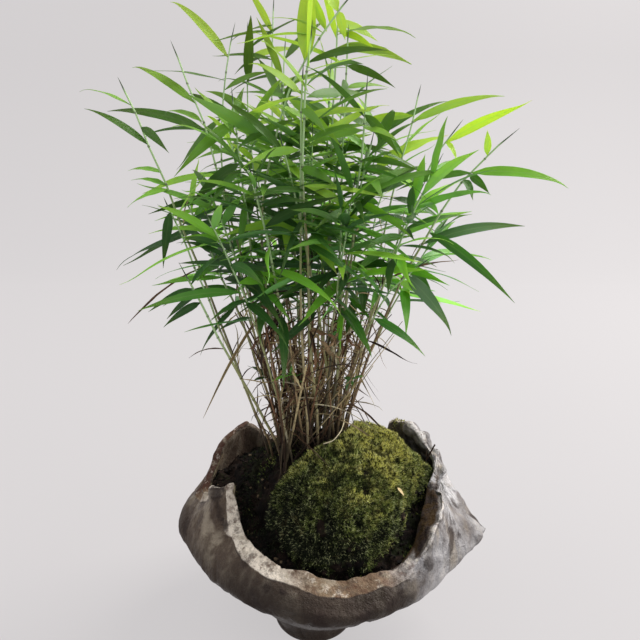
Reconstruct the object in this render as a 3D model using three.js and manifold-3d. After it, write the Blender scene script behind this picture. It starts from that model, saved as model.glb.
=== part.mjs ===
// Potted dwarf bamboo grass: a torn, hand-built stoneware bowl filled with soil, a moss-covered
// mound standing out of it, and a clump of thin leafy culms with dead stems between their feet.
// Millimetres, +Z up, origin at the middle of the underside of the bowl's foot. -Y is the front.
import * as THREE from 'three';
import { mergeVertices } from 'three/addons/utils/BufferGeometryUtils.js';
import Module from 'manifold-3d';

const wasm = await Module();
wasm.setup();

// Driving dimensions of the bowl
const FOOT_RADIUS = 26;
const FOOT_HEIGHT = 10;
const FOOT_EDGE = 1.5;          // small slope at the foot's lower edge
const FLOOR_Z = 17;             // top of the bowl's floor, inside
const FLOOR_RADIUS = 22;
const WALL = 9;                 // wall thickness at the ridge
const LIP_ROUND = 3;            // how far the lip's edges are rounded
const GAP = 0.35;               // clearance between pieces that touch
const RIM_STEP = 12;            // widest step round the bowl, degrees

// The ridge is the widest line round the bowl, where the wall turns in: [angle, radius, height].
// Angles run from +X (the right) towards +Y (the back).
const RIDGE = [
  [0, 111, 65], [10, 106, 66], [22, 98, 69], [40, 92, 70], [60, 88, 69], [90, 84, 68],
  [125, 86, 67], [150, 90, 65], [166, 91, 64], [175, 89, 63], [183, 84, 62], [193, 78, 62],
  [205, 73, 62], [217, 70, 62], [230, 68.5, 62], [252, 70, 62], [275, 75, 62], [300, 78, 62],
  [318, 80.5, 62], [332, 85, 62], [344, 92, 63], [352, 102, 64],
];

// The torn rim: [angle, outer radius, height, width of the lip, its rise towards the inside].
const RIM = [
  [5, 80, 94, 10, -4], [12, 87, 98, 8, 0], [18, 90, 101, 8, 0], [24, 88, 107, 9, 1],
  [31, 88, 112, 9, 1], [38, 88, 113, 9, 1], [44, 86, 110, 9, 1], [49, 83, 101, 9, 1],
  [60, 80, 97, 9, 1], [80, 77, 93, 9, 1], [105, 77, 92, 9, 1], [117, 78, 96, 9, 1],
  [124, 79, 104, 9, 1], [130, 80, 111, 9, 1], [137, 80, 108, 10, 2], [144, 80, 104, 9, 1],
  [150, 80, 98, 8, 0], [158, 79, 89, 8, 0], [168, 77, 84, 8, 0], [176, 71, 88, 8, 0],
  [184, 65, 95, 8, 0], [191, 60, 103, 8, 0], [198, 56, 108, 8, 0], [202, 56, 97, 8, 0],
  [206, 56, 85, 9, 1], [219, 58, 80, 10, 2], [231, 61, 79, 10, 2], [241, 64, 78, 11, 3],
  [250, 67, 77, 12, 4], [262, 69, 75, 14, 5], [275, 71, 72, 14, 5], [286, 73, 70, 14, 5],
  [297, 74, 73, 13, 3], [306, 76, 76, 12, 1], [313, 78, 80, 12, -2], [319, 80, 87, 13, -5],
  [325, 81, 93, 14, -7], [335, 80, 96, 14, -8], [346, 80, 97, 14, -8], [356, 80, 96, 13, -7],
];

// Soil and moss
const MOUND_X = 20;             // middle of the moss ball
const MOUND_Y = 2;
const MOUND_TOP = 126.5;        // top of the soil under the moss
const MOUND_POWER = 2.2;        // how square the mound's shoulders are
const MOUND_RINGS = [1, 0.97, 0.9, 0.78, 0.6, 0.4, 0.2];
const MOSS_THICK = [0, 2.4, 4.2, 5, 5, 5, 5];
const MOSS_FROM = 201;          // the moss runs from this angle, seen from the mound's middle,
const MOSS_TO = 440;            // round the front and right to this one
const MOSS_MARGIN = 8;          // stems stand this many degrees clear of the moss
// Where the soil meets the wall: [angle, height, radius of the mound's foot in that direction,
// how gently the mound rises there, from 0.45 for a ball to 1 for a slope]
const SOIL_EDGE = [
  [0, 81, 42, 0.45], [7, 84, 53, 0.5], [13, 86, 60, 0.6], [30, 88, 62, 0.85], [50, 87, 62, 0.85],
  [80, 87, 59, 0.65], [115, 90, 66, 0.9],
  [150, 84, 82, 1], [180, 80, 66, 1], [205, 78, 54, 0.7], [230, 74, 51, 0.5],
  [250, 71, 52, 0.5], [275, 70, 54, 0.5], [300, 71, 51, 0.5], [325, 77, 43, 0.48],
  [348, 79, 38, 0.45],
];
const FOOT_SHARE = 0.96;        // the mound's foot stays inside this share of the way to the wall

// Culms and leaves
const CULM_FOOT_RADIUS = 1.1;
const CULM_TIP_RADIUS = 0.7;
const CULM_SPANS = 5;
const TOP_LEAF = 0.98;          // the highest that a leaf sits on its culm
const SUNK = 10;                // how deep a culm stands in the soil
const HOLE_CLEAR = 0.8;         // how much wider a stem's hole is
const HOLE_TOP = 5;             // how far above its foot its hole is cut
const CLUMP_X = -2;             // middle of the clump's foot
const CLUMP_Y = 16;
const CLUMP_RADIUS = 22;
const FOOT_SPACING = 3.6;       // least distance between the feet of two culms
const FILL_CULMS = 24;          // culms placed by rule, between the ones listed below
const FILL_LEAVES = 10;
const FILL_FROM = 0.66;         // their lowest leaf, as a share of the way up
const FILL_REACH_X = 80;        // how far the outer of these lean out
const FILL_REACH_Y = 66;
const FILL_TIP_Z = 342;
const FILL_TIP_DROP = 70;       // how much lower the outermost of their tips are,
const FILL_TIP_DRAW = 44;       // and how much lower still each may be by chance
const FILL_BEND = [0.4, 0.4, 0.6]; // where each is pulled to, as shares of its way in X, Y and Z
const FILL_RANKS = [50, 130];   // degrees from the way it leans to its two ranks of leaves
const FILL_STRAY = 50;          // degrees that a leaf strays from its rank, each way
const FILL_LIFT = [-12, 36];    // how steeply its lowest and its highest leaf rise
const FILL_LIFT_STRAY = 14;
const FILL_LENGTH = [38, 58];
const FILL_SHORTER = 0.2;       // share by which the highest leaf is shorter
const FILL_TILT = [-20, 65];
const GOLDEN_ANGLE = 137.5;
const SEEK_TURN = 5;            // step in the search for a free foot, degrees
const LEAF_WIDTH_SHARE = 0.16;  // leaf width as a share of its length, between two limits
const LEAF_NARROW = 5.2;
const LEAF_WIDE = 8.2;
const LEAF_KEEL = 1.3;
const LEAF_SECTIONS = [[0.3, 1, 1], [0.68, 0.74, 0.85]]; // share of the length, width, keel
const LEAF_ARCH = 0.12;
const LEAF_CLEAR = 0.35;        // room kept between the leaves of two culms
// A leaf that would touch another culm is turned about the vertical by these angles in turn,
const TURNS = [0, 24, -24, 50, -50, 85, -85, 130, -130];
const SHORTER = 0.94;           // and gets shorter at each turn
const TIP_TRIES = 60;           // places tried for the tip of a stem that would touch another,
const TIP_STEP = 5;             // on a spiral round its own place
// Old tufts of dead stems
const TUFTS = 12;
const DEAD_STEMS = 4;
const TUFT_SPREAD = 1.1;        // how far out they stand, in clump radii
const TUFT_SPOTS = 120;
const TUFT_CLEAR = 4.2;         // least distance from a culm's foot
const TUFT_SPACING = 6;         // and from another tuft's
const STUB_HEIGHT = 4;
const STUB_RADII = [1.7, 1.7, 1.5];
const DEAD_RADII = [0.85, 0.75, 0.65, 0.54];
const DEAD_TURN = 1.3;          // radians that a dead stem strays from straight out, each way
const DEAD_LEAN = [0.05, 0.5];  // its way out for each millimetre up
const DEAD_LENGTH = [45, 115];
const DEAD_SWAY = 0.1;          // how much its curve strays sideways, as a share of its length

// The culms that can be told apart. foot is where each stands, bend pulls its curve, tip is its
// top. Each leaf is [share of the way up, step to its tip in X, Y and Z, tilt to the front].
const CULMS = [
  {
    foot: [-28, 16],
    bend: [-73, 4, 268],
    tip: [-95, 0, 323],
    leaves: [
      [0.95, -23, -6, 8, 20], [0.8, -27, -12, 18, 60], [0.87, 17, -15, -13, 50],
      [0.68, -22, 10, 3, 50], [0.67, -19, -12, -8, 40], [0.72, -22, 14, 1, 30],
      [0.45, -42, -6, -31, 30],
    ],
  },
  {
    foot: [-22, 22],
    bend: [-43, 16, 270],
    tip: [-72, 22, 342],
    leaves: [
      [0.86, -36, 10, 21, 55], [0.78, -49, -10, 9, 70], [0.8, -24, 15, 7, 35],
      [0.59, -40, -14, -8, 60], [0.54, -63, 10, -27, 50],
    ],
  },
  {
    foot: [-15, 24],
    bend: [-69, 29, 265],
    tip: [-46, 38, 352],
    leaves: [
      [0.96, -34, 12, 34, 60], [0.79, -31, 14, -29, 60], [0.7, -25, 20, 7, 40],
      [0.87, 27, -12, 8, 50],
    ],
  },
  {
    foot: [-13, 2],
    bend: [-34, -7, 234],
    tip: [-38, -16, 316],
    leaves: [
      [0.91, -17, -14, 21, 70], [0.95, -26, -20, -25, 75], [0.82, -16, -18, -21, 50],
      [0.88, 31, -10, 13, 60], [0.73, -9, -16, -26, 60], [0.42, -41, -10, -56, 40],
    ],
  },
  {
    foot: [-25, 10],
    bend: [-47, -2, 187],
    tip: [-74, -12, 266],
    leaves: [
      [0.98, -4, -6, -32, 70], [0.9, -34, -8, -14, 35], [0.83, -19, -12, -7, 60],
      [0.95, 20, -16, 24, 60],
    ],
  },
  {
    foot: [-20, 7],
    bend: [-45, -11, 182],
    tip: [-63, -24, 230],
    leaves: [
      [0.96, -21, -10, -10, 65], [0.92, -18, 4, -14, 40], [0.88, -17, -12, -10, 55],
      [0.99, 20, -10, 18, 60], [0.61, -22, 6, -5, 20],
    ],
  },
  {
    foot: [-4, 6],
    bend: [-56, -5, 283],
    tip: [14, -20, 357],
    leaves: [
      [0.86, 37, -12, 4, 60], [0.77, 26, -14, -23, 60], [0.66, -26, -16, 12, 60],
      [0.94, -12, 10, 23, 50], [0.58, 32, -20, -11, 65],
    ],
  },
  {
    foot: [3, 0],
    bend: [-8, -17, 269],
    tip: [0, -38, 340],
    leaves: [
      [0.93, 2, -16, 37, 80], [0.87, -18, -14, 18, 60], [0.74, 30, -12, 8, 55],
      [0.62, -29, -20, -3, 60],
    ],
  },
  {
    foot: [9, 18],
    bend: [8, 14, 263],
    tip: [13, 10, 357],
    leaves: [
      [0.96, -10, 8, 33, 75], [1, 19, -12, -11, 60], [0.94, 38, -8, -9, 55],
      [0.79, 33, -14, -21, 60], [0.7, -36, 12, -11, 50],
    ],
  },
  {
    foot: [14, 22],
    bend: [15, 14, 262],
    tip: [18, 6, 347],
    leaves: [
      [0.94, 24, -12, -12, 65], [0.88, 24, 12, 2, 40], [0.97, 25, 16, 5, 35],
      [0.9, -3, -22, -12, 50], [0.77, -29, 16, 11, 50],
    ],
  },
  {
    foot: [-3, -3],
    bend: [-9, -14, 254],
    tip: [-4, -32, 323],
    leaves: [
      [0.9, 36, -10, 4, 65], [0.93, 21, -16, -13, 60], [0.97, -22, -10, 13, 60],
      [0.81, -26, -18, -7, 70], [0.76, 29, -16, -9, 65],
    ],
  },
  {
    foot: [-6, 28],
    bend: [-26, 33, 238],
    tip: [-16, 42, 349],
    leaves: [
      [0.93, -16, 10, 35, 70], [0.94, -34, 12, -6, 40], [0.83, -29, 16, -5, 50],
      [0.98, 24, 14, 24, 60], [0.79, 35, 16, -14, 50],
    ],
  },
  {
    foot: [0, 32],
    bend: [-30, 40, 255],
    tip: [-23, 55, 372],
    leaves: [
      [0.95, -17, 12, 28, 70], [0.97, -27, 12, -6, 40], [0.82, 34, 14, 10, 40],
      [0.89, -33, 18, 2, 40],
    ],
  },
  {
    foot: [-10, 34],
    bend: [-42, 45, 260],
    tip: [-39, 60, 360],
    leaves: [
      [0.88, 0, 8, 49, 80], [0.8, -29, 14, 13, 60], [0.94, 31, 14, 8, 50], [0.7, -39, 18, -5, 50],
    ],
  },
  {
    foot: [17, 7],
    bend: [54, 2, 261],
    tip: [94, -10, 297],
    leaves: [
      [0.6, 46, -14, -37, 80], [0.56, 60, 10, 9, 45], [0.85, -38, 8, -9, 60],
      [0.85, 45, -16, -5, 60], [0.84, 8, -10, -9, 70],
    ],
  },
  {
    foot: [20, 14],
    bend: [44, 10, 262],
    tip: [72, 5, 301],
    leaves: [
      [0.97, 39, -14, 18, 65], [0.57, 42, 12, 12, 60], [0.64, 28, 12, 17, 50],
      [0.74, -25, -12, 13, 60], [0.42, 44, 8, 11, 20],
    ],
  },
  {
    foot: [13, 16],
    bend: [40, 19, 246],
    tip: [58, 26, 323],
    leaves: [
      [0.92, 47, -12, 13, 55], [0.94, -40, 14, -8, 55], [0.81, -20, 16, 22, 60],
      [0.68, 35, 10, -16, 55], [0.73, -38, 14, -12, 55],
    ],
  },
  {
    foot: [14, 3],
    bend: [25, -12, 213],
    tip: [52, -26, 237],
    leaves: [
      [0.82, 24, -8, -6, 65], [0.83, 29, -14, -22, 75], [0.6, 27, -12, -17, 60],
      [0.72, -20, -14, 23, 60], [0.48, 27, -8, -13, 50],
    ],
  },
  {
    foot: [9, 2],
    bend: [23, -8, 253],
    tip: [26, -18, 318],
    leaves: [
      [0.95, 16, -14, -20, 75], [0.8, 28, -12, -5, 60], [0.9, -31, -14, -10, 60],
      [0.68, 28, -16, -18, 65], [0.6, -33, -18, -10, 60],
    ],
  },
];

const DEGREE = Math.PI / 180;

const paint = (color, roughness, metalness = 0) =>
  new THREE.MeshStandardMaterial({ color, roughness, metalness });
const STONEWARE = paint(0x8d857c, 0.6);
const EARTH = paint(0x2b211b, 0.95);
const MOSS = paint(0x4c5c22, 0.95);
const LEAF = paint(0x5f8a2c, 0.5);
const STRAW = paint(0x9a7a52, 0.8);

const model = new THREE.Group();

// A smooth closed curve through rows of [angle, value, ...], with no overshoot between rows.
function around(rows, column) {
  const n = rows.length;
  const angle = (k) => rows[((k % n) + n) % n][0] + 360 * Math.floor(k / n);
  const value = (k) => rows[((k % n) + n) % n][column];
  const rise = (k) => (value(k + 1) - value(k)) / (angle(k + 1) - angle(k));
  const slope = (k) => {
    const a = rise(k - 1);
    const b = rise(k);
    return a * b <= 0 ? 0 : (2 * a * b) / (a + b);
  };
  return (degrees) => {
    const turn = ((degrees % 360) + 360) % 360;
    let k = -1;
    while (k + 1 < n && rows[k + 1][0] <= turn) k += 1;
    const span = angle(k + 1) - angle(k);
    const t = (turn - angle(k)) / span;
    const u = 1 - t;
    return value(k) * u * u * (1 + 2 * t) + value(k + 1) * t * t * (3 - 2 * t)
      + slope(k) * span * t * u * u - slope(k + 1) * span * t * t * u;
  };
}

// A closed body from rings of points, the first and last ring closed by a point each.
function ringGeometry(rings, first, last) {
  const points = [];
  const faces = [];
  const n = rings[0].length;
  rings.forEach((ring) => ring.forEach((p) => points.push(p.x, p.y, p.z)));
  const start = points.length / 3;
  points.push(first.x, first.y, first.z, last.x, last.y, last.z);
  for (let j = 0; j < n; j += 1) {
    const k = (j + 1) % n;
    faces.push(start, k, j, start + 1, (rings.length - 1) * n + j, (rings.length - 1) * n + k);
    for (let i = 0; i + 1 < rings.length; i += 1) {
      const a = i * n + j;
      const b = i * n + k;
      faces.push(a, b, b + n, a, b + n, a + n);
    }
  }
  const geometry = new THREE.BufferGeometry();
  geometry.setAttribute('position', new THREE.Float32BufferAttribute(points, 3));
  geometry.setIndex(faces);
  return geometry;
}

function toSolid(geometry) {
  const bare = geometry.clone();
  bare.deleteAttribute('normal');
  bare.deleteAttribute('uv');
  const merged = mergeVertices(bare, 1e-5);
  return new wasm.Manifold(new wasm.Mesh({
    numProp: 3,
    vertProperties: new Float32Array(merged.attributes.position.array),
    triVerts: new Uint32Array(merged.index.array),
  }));
}

function addPiece(name, solid, material) {
  const mesh = solid.getMesh();
  const geometry = new THREE.BufferGeometry();
  geometry.setAttribute('position', new THREE.BufferAttribute(mesh.vertProperties, 3));
  geometry.setIndex(new THREE.BufferAttribute(mesh.triVerts, 1));
  const piece = new THREE.Mesh(geometry, material);
  piece.name = name;
  model.add(piece);
}

const polar = (degrees, radius, z) =>
  new THREE.Vector3(radius * Math.cos(degrees * DEGREE), radius * Math.sin(degrees * DEGREE), z);

const ridgeRadius = around(RIDGE, 1);
const ridgeHeight = around(RIDGE, 2);
const rimRadius = around(RIM, 1);
const rimHeight = around(RIM, 2);
const rimWidth = around(RIM, 3);
const rimRise = around(RIM, 4);
const soilEdge = around(SOIL_EDGE, 1);
const moundReach = around(SOIL_EDGE, 2);
const moundSlope = around(SOIL_EDGE, 3);

// Angles round the bowl: every row of the rim, with the wider gaps between rows divided up.
function rimAngles() {
  const angles = [];
  RIM.forEach(([from], k) => {
    const to = k + 1 < RIM.length ? RIM[k + 1][0] : RIM[0][0] + 360;
    const steps = Math.ceil((to - from) / RIM_STEP);
    for (let s = 0; s < steps; s += 1) angles.push(from + ((to - from) * s) / steps);
  });
  return angles;
}
const ANGLES = rimAngles();

// The bowl's section at one angle, as [radius, height], from the foot up the outside, over the
// lip and down the inside. grow thickens the wall on both sides.
function section(degrees, grow = 0) {
  const R = ridgeRadius(degrees);
  const Z = ridgeHeight(degrees);
  const r = rimRadius(degrees);
  const z = rimHeight(degrees);
  const w = rimWidth(degrees);
  const midR = (FOOT_RADIUS + R) / 2;
  const midZ = (FOOT_HEIGHT + Z) / 2;
  const swell = 0.35 * LIP_ROUND;
  const lift = rimRise(degrees);
  const outside = [
    [FOOT_RADIUS - FOOT_EDGE, 0],
    [FOOT_RADIUS, FOOT_EDGE],
    [FOOT_RADIUS - 1, FOOT_HEIGHT],
    [midR, midZ],
    [R - 1, Z - 3],
    [R, Z + 1],
    [R + (r - R) * 0.55 + 1.5, Z + (z - Z) * 0.5],
    [r, z - LIP_ROUND],
    [r - swell, z - swell],
  ];
  const inside = [
    [r - w / 2, z + 0.4 + lift / 2],
    [r - w + swell, z + 0.3 + lift],
    [r - w, z - LIP_ROUND + 1 + lift],
    [R - WALL - 1, Z + 2],
    [midR - WALL, midZ + WALL / 3],
    [FLOOR_RADIUS, FLOOR_Z],
  ];
  return [
    ...outside.map(([x, y]) => [x + grow, y]),
    ...inside.map(([x, y], i) => [x - grow, y + (i > 1 && i < 5 ? 0 : grow)]),
  ];
}

function ringsFrom(sectionAt) {
  const sections = ANGLES.map(sectionAt);
  return sections[0].map((_, i) => sections.map((s, j) => polar(ANGLES[j], s[i][0], s[i][1])));
}

function bowlSolid(grow = 0) {
  return toSolid(ringGeometry(
    ringsFrom((a) => section(a, grow)),
    new THREE.Vector3(0, 0, 0),
    new THREE.Vector3(0, 0, FLOOR_Z + grow),
  ));
}

// Where the soil meets the wall, as a radius. It lies on the wall's inner face.
function soilRadius(degrees) {
  const s = section(degrees);
  const [lipR, lipZ] = s[s.length - 4];
  const [wallR, wallZ] = s[s.length - 3];
  const t = THREE.MathUtils.clamp((lipZ - soilEdge(degrees)) / (lipZ - wallZ), 0, 1);
  return lipR + (wallR - lipR) * t;
}

// The mound's foot in one direction, as a share of the way from its middle to the wall.
function moundFoot(degrees) {
  const edge = polar(degrees, soilRadius(degrees), 0);
  const way = Math.hypot(edge.x - MOUND_X, edge.y - MOUND_Y);
  return Math.min(FOOT_SHARE, moundReach(degrees) / way);
}

// A point of the soil's surface, at a share of the way from the mound's middle to the wall.
function soilPoint(degrees, share, reach = 0) {
  const edge = polar(degrees, soilRadius(degrees) + reach, 0);
  const x = MOUND_X + (edge.x - MOUND_X) * share;
  const y = MOUND_Y + (edge.y - MOUND_Y) * share;
  const out = Math.min(1, share / moundFoot(degrees));
  const low = soilEdge(degrees);
  const rise = (1 - out ** MOUND_POWER) ** moundSlope(degrees);
  return new THREE.Vector3(x, y, low + (MOUND_TOP - low) * rise);
}

const moundRing = (out) => ANGLES.map((a) => soilPoint(a, out * moundFoot(a)));

// Soil: it fills the bowl and rises into the mound.
function soilSolid(bowlSpace) {
  const into = WALL / 3;
  const walls = ringsFrom((a) => {
    const s = section(a, 0).slice(-3);
    return s.map(([r, z]) => [r + into, z - into]).reverse();
  });
  const wallLine = ANGLES.map((a) => soilPoint(a, 1, into));
  return toSolid(ringGeometry(
    [...walls, wallLine, ...MOUND_RINGS.map(moundRing)],
    new THREE.Vector3(0, 0, FLOOR_Z - into),
    new THREE.Vector3(MOUND_X, MOUND_Y, MOUND_TOP),
  )).subtract(bowlSpace);
}

// The direction that the mound's surface faces at one of its points.
function moundNormal(degrees, out) {
  const point = soilPoint(degrees, out * moundFoot(degrees));
  const foot = soilPoint(degrees, moundFoot(degrees));
  const reach = Math.hypot(foot.x - MOUND_X, foot.y - MOUND_Y);
  const height = MOUND_TOP - soilEdge(degrees);
  const flat = new THREE.Vector3(foot.x - MOUND_X, foot.y - MOUND_Y, 0).divideScalar(reach);
  flat.multiplyScalar((MOUND_POWER * out ** (MOUND_POWER - 1)) / reach);
  return flat.setZ((2 * (point.z - foot.z)) / height ** 2).normalize();
}

const moundHeading = (x, y) => Math.atan2(y - MOUND_Y, x - MOUND_X) / DEGREE;

// True where the soil of the mound is bare, well clear of the moss.
function isBare(x, y) {
  const seen = THREE.MathUtils.euclideanModulo(moundHeading(x, y), 360);
  return seen > MOSS_TO - 360 + MOSS_MARGIN && seen < MOSS_FROM - MOSS_MARGIN;
}

// Moss: a cushion over a wide sector of the mound, thinning out at the mound's foot.
function mossSolid(bowlSpace) {
  const turn = (a) => {
    const { x, y } = soilPoint(a, 0.5);
    return MOSS_FROM + THREE.MathUtils.euclideanModulo(moundHeading(x, y) - MOSS_FROM, 360);
  };
  const columns = ANGLES.filter((a) => turn(a) < MOSS_TO)
    .sort((a, b) => turn(a) - turn(b));
  const skin = (height) => columns.map((a) => MOUND_RINGS.map((out, i) => soilPoint(
    a,
    out * moundFoot(a),
  ).addScaledVector(moundNormal(a, out), height(i)).add(new THREE.Vector3(0, 0, i ? 0 : GAP))));
  const under = skin(() => GAP);
  const over = skin((i) => GAP + MOSS_THICK[i]);
  const rows = MOUND_RINGS.length;
  // Each column goes down the upper face from the mound's top and back up the lower face.
  const loops = columns.map((_, c) => [...over[c].slice().reverse(), ...under[c]]);
  const points = loops.flat();
  const size = 2 * rows;
  const topOver = points.length;
  const topUnder = topOver + 1;
  points.push(new THREE.Vector3(MOUND_X, MOUND_Y, MOUND_TOP + GAP + MOSS_THICK[rows - 1]));
  points.push(new THREE.Vector3(MOUND_X, MOUND_Y, MOUND_TOP + GAP));
  const faces = [];
  for (let c = 0; c + 1 < columns.length; c += 1) {
    const a = c * size;
    const b = a + size;
    for (let i = 0; i + 1 < size; i += 1) {
      faces.push(a + i, a + i + 1, b + i + 1, a + i, b + i + 1, b + i);
    }
    faces.push(topOver, a, b, topUnder, b + size - 1, a + size - 1);
  }
  const closeEnd = (start, flip) => {
    const loop = [topOver, ...loops[0].map((_, i) => start + i), topUnder];
    for (let i = 0; i < rows; i += 1) {
      const [a, b, c, d] = [loop[i], loop[i + 1], loop[size - i], loop[size + 1 - i]];
      faces.push(...(flip ? [a, b, c, a, c, d] : [a, c, b, a, d, c]));
    }
  };
  closeEnd(0, false);
  closeEnd((columns.length - 1) * size, true);
  const geometry = new THREE.BufferGeometry();
  geometry.setAttribute(
    'position',
    new THREE.Float32BufferAttribute(points.flatMap((p) => [p.x, p.y, p.z]), 3),
  );
  geometry.setIndex(faces);
  return toSolid(geometry).subtract(bowlSpace);
}

// A repeatable draw between 0 and 1.
let drawState = 20252;
function draw() {
  drawState = (drawState * 16807) % 2147483647;
  return drawState / 2147483647;
}
const between = (low, high) => low + (high - low) * draw();
const stray = (most) => between(-most, most);

function bend(a, k, b, t) {
  const u = 1 - t;
  return a.clone().multiplyScalar(u * u).addScaledVector(k, 2 * u * t).addScaledVector(b, t * t);
}

// A thin three-sided tube through points, with a radius at each.
function tube(points, radii) {
  const rings = points.map((p, i) => {
    const along = points[Math.min(i + 1, points.length - 1)].clone()
      .sub(points[Math.max(i - 1, 0)]).normalize();
    const side = new THREE.Vector3(0, 1, 0).cross(along).normalize();
    const other = along.clone().cross(side);
    return [90, 210, 330].map((turn) => p.clone()
      .addScaledVector(side, radii[i] * Math.cos(turn * DEGREE))
      .addScaledVector(other, radii[i] * Math.sin(turn * DEGREE)));
  });
  return toSolid(ringGeometry(rings, points[0], points[points.length - 1]));
}

// A leaf blade from a point on its culm to its tip: flat above, with a keel below. margin makes
// it thicker all over, for finding out what it would touch.
function blade(from, step, tilt, margin = 0) {
  const length = step.length();
  const ahead = step.clone().normalize();
  const width = THREE.MathUtils.clamp(length * LEAF_WIDTH_SHARE, LEAF_NARROW, LEAF_WIDE);
  const flat = ahead.clone().cross(new THREE.Vector3(0, 0, 1)).normalize();
  const up = flat.clone().cross(ahead);
  const roll = (step.x >= 0 ? -tilt : tilt) * DEGREE;
  const side = flat.multiplyScalar(Math.cos(roll)).addScaledVector(up, Math.sin(roll));
  const face = side.clone().cross(ahead);
  const tip = from.clone().add(step);
  const middle = from.clone().addScaledVector(step, 0.5).add(
    new THREE.Vector3(0, 0, LEAF_ARCH * length),
  );
  const rings = LEAF_SECTIONS.map(([t, wide, thick]) => {
    const p = bend(from, middle, tip, t).addScaledVector(face, margin);
    const half = (wide * width) / 2 + margin;
    return [
      p.clone().addScaledVector(side, half),
      p.clone().addScaledVector(face, -thick * LEAF_KEEL - 2 * margin),
      p.clone().addScaledVector(side, -half),
    ];
  });
  return toSolid(ringGeometry(rings, from, tip.addScaledVector(ahead, margin)));
}

const soilMesh = new THREE.Mesh(new THREE.BufferGeometry());
const down = new THREE.Raycaster();

// The height of the soil's surface under a point.
function soilHeight(x, y) {
  down.set(new THREE.Vector3(x, y, 1000), new THREE.Vector3(0, 0, -1));
  return down.intersectObject(soilMesh)[0].point.z;
}

const feet = [];
const culms = [];

// The stem of a culm: straight down in the soil, curved above it. extra makes it thicker.
function stemTube(foot, bendPoint, tip, extra = 0, spans = CULM_SPANS) {
  const points = [foot.clone().setZ(foot.z - SUNK - extra / 2)];
  const radii = [CULM_FOOT_RADIUS + extra];
  for (let i = 0; i <= spans; i += 1) {
    const t = i / CULM_SPANS;
    points.push(bend(foot, bendPoint, tip, t));
    radii.push(CULM_FOOT_RADIUS + (CULM_TIP_RADIUS - CULM_FOOT_RADIUS) * t + extra);
  }
  return tube(points, radii);
}

// The plain hole that a stem stands in.
function stemHole(foot, radius) {
  const ends = [-SUNK - HOLE_CLEAR / 2, HOLE_TOP];
  const wide = radius + HOLE_CLEAR;
  return tube(ends.map((z) => foot.clone().setZ(foot.z + z)), [wide, wide]);
}

// The first place, on a spiral round a tip, where the stem stays clear of the stems before it.
function freeTip(foot, tip) {
  for (let i = 0; i < TIP_TRIES; i += 1) {
    const there = polar(i * GOLDEN_ANGLE, TIP_STEP * Math.sqrt(i), 0).add(tip);
    const wide = stemTube(foot, ruleBend(foot, there), there, LEAF_CLEAR);
    const others = [moss, ...culms.map((c) => c.stem)];
    if (others.every((other) => wide.intersect(other).isEmpty())) return there;
  }
  throw new Error('a culm has no room');
}

// What pulls the curve of a culm that is placed by rule, which rises first and then leans out.
function ruleBend(foot, tip) {
  return foot.clone().add(tip.clone().sub(foot).multiply(new THREE.Vector3(...FILL_BEND)));
}

function addCulm(x, y, bendPoint, tip, leaves) {
  const foot = new THREE.Vector3(x, y, soilHeight(x, y));
  feet.push([x, y]);
  culms.push({
    foot,
    bendPoint,
    tip,
    leaves,
    stem: stemTube(foot, bendPoint, tip),
    hole: stemHole(foot, CULM_FOOT_RADIUS),
  });
}

function addListedCulms() {
  CULMS.forEach((c) => {
    const leaves = c.leaves.map(([t, x, y, z, tilt]) => [t, new THREE.Vector3(x, y, z), tilt]);
    addCulm(...c.foot, new THREE.Vector3(...c.bend), new THREE.Vector3(...c.tip), leaves);
  });
}

// Leaves of a culm placed by rule: in two ranks, the upper ones rising, the lower ones drooping.
function ruleLeaves(heading) {
  const ranks = heading + between(...FILL_RANKS);
  const leaves = [];
  for (let i = 0; i < FILL_LEAVES; i += 1) {
    const high = i / (FILL_LEAVES - 1);
    const t = FILL_FROM + (1 - FILL_FROM) * high;
    const turn = (ranks + 180 * i + stray(FILL_STRAY)) * DEGREE;
    const lift = (THREE.MathUtils.lerp(...FILL_LIFT, high) + stray(FILL_LIFT_STRAY)) * DEGREE;
    const length = between(...FILL_LENGTH) * (1 - FILL_SHORTER * high);
    const step = new THREE.Vector3(
      Math.cos(turn) * Math.cos(lift),
      Math.sin(turn) * Math.cos(lift),
      Math.sin(lift),
    ).multiplyScalar(length);
    leaves.push([t, step, between(...FILL_TILT)]);
  }
  return leaves;
}

function addRuleCulms() {
  for (let k = 0; k < FILL_CULMS; k += 1) {
    const share = Math.sqrt((k + 0.5) / FILL_CULMS);
    const heading = k * GOLDEN_ANGLE;
    const tip = new THREE.Vector3(
      CLUMP_X + FILL_REACH_X * share * Math.cos(heading * DEGREE),
      CLUMP_Y + FILL_REACH_Y * share * Math.sin(heading * DEGREE),
      FILL_TIP_Z - FILL_TIP_DROP * share * share - between(0, FILL_TIP_DRAW),
    );
    let turn = heading;
    let spot;
    do {
      spot = [
        CLUMP_X + CLUMP_RADIUS * share * Math.cos(turn * DEGREE),
        CLUMP_Y + CLUMP_RADIUS * share * Math.sin(turn * DEGREE),
      ];
      turn += SEEK_TURN;
    } while (!isBare(...spot) || feet.some(
      ([x, y]) => Math.hypot(x - spot[0], y - spot[1]) < FOOT_SPACING,
    ));
    const foot = new THREE.Vector3(...spot, soilHeight(...spot));
    const there = freeTip(foot, tip);
    addCulm(...spot, ruleBend(foot, there), there, ruleLeaves(heading));
  }
}

// True where two boxes, as a solid's bounds give them, come near each other.
function boxesMeet(a, b) {
  return [0, 1, 2].every((i) => a.min[i] <= b.max[i] && b.min[i] <= a.max[i]);
}

// A point on the middle line of a culm's stem, which is straight between its rings.
function onStem(culm, share) {
  const t = Math.min(share, TOP_LEAF);
  const span = Math.min(Math.floor(t * CULM_SPANS), CULM_SPANS - 1);
  const ring = (i) => bend(culm.foot, culm.bendPoint, culm.tip, i / CULM_SPANS);
  return ring(span).lerp(ring(span + 1), t * CULM_SPANS - span);
}

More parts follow.
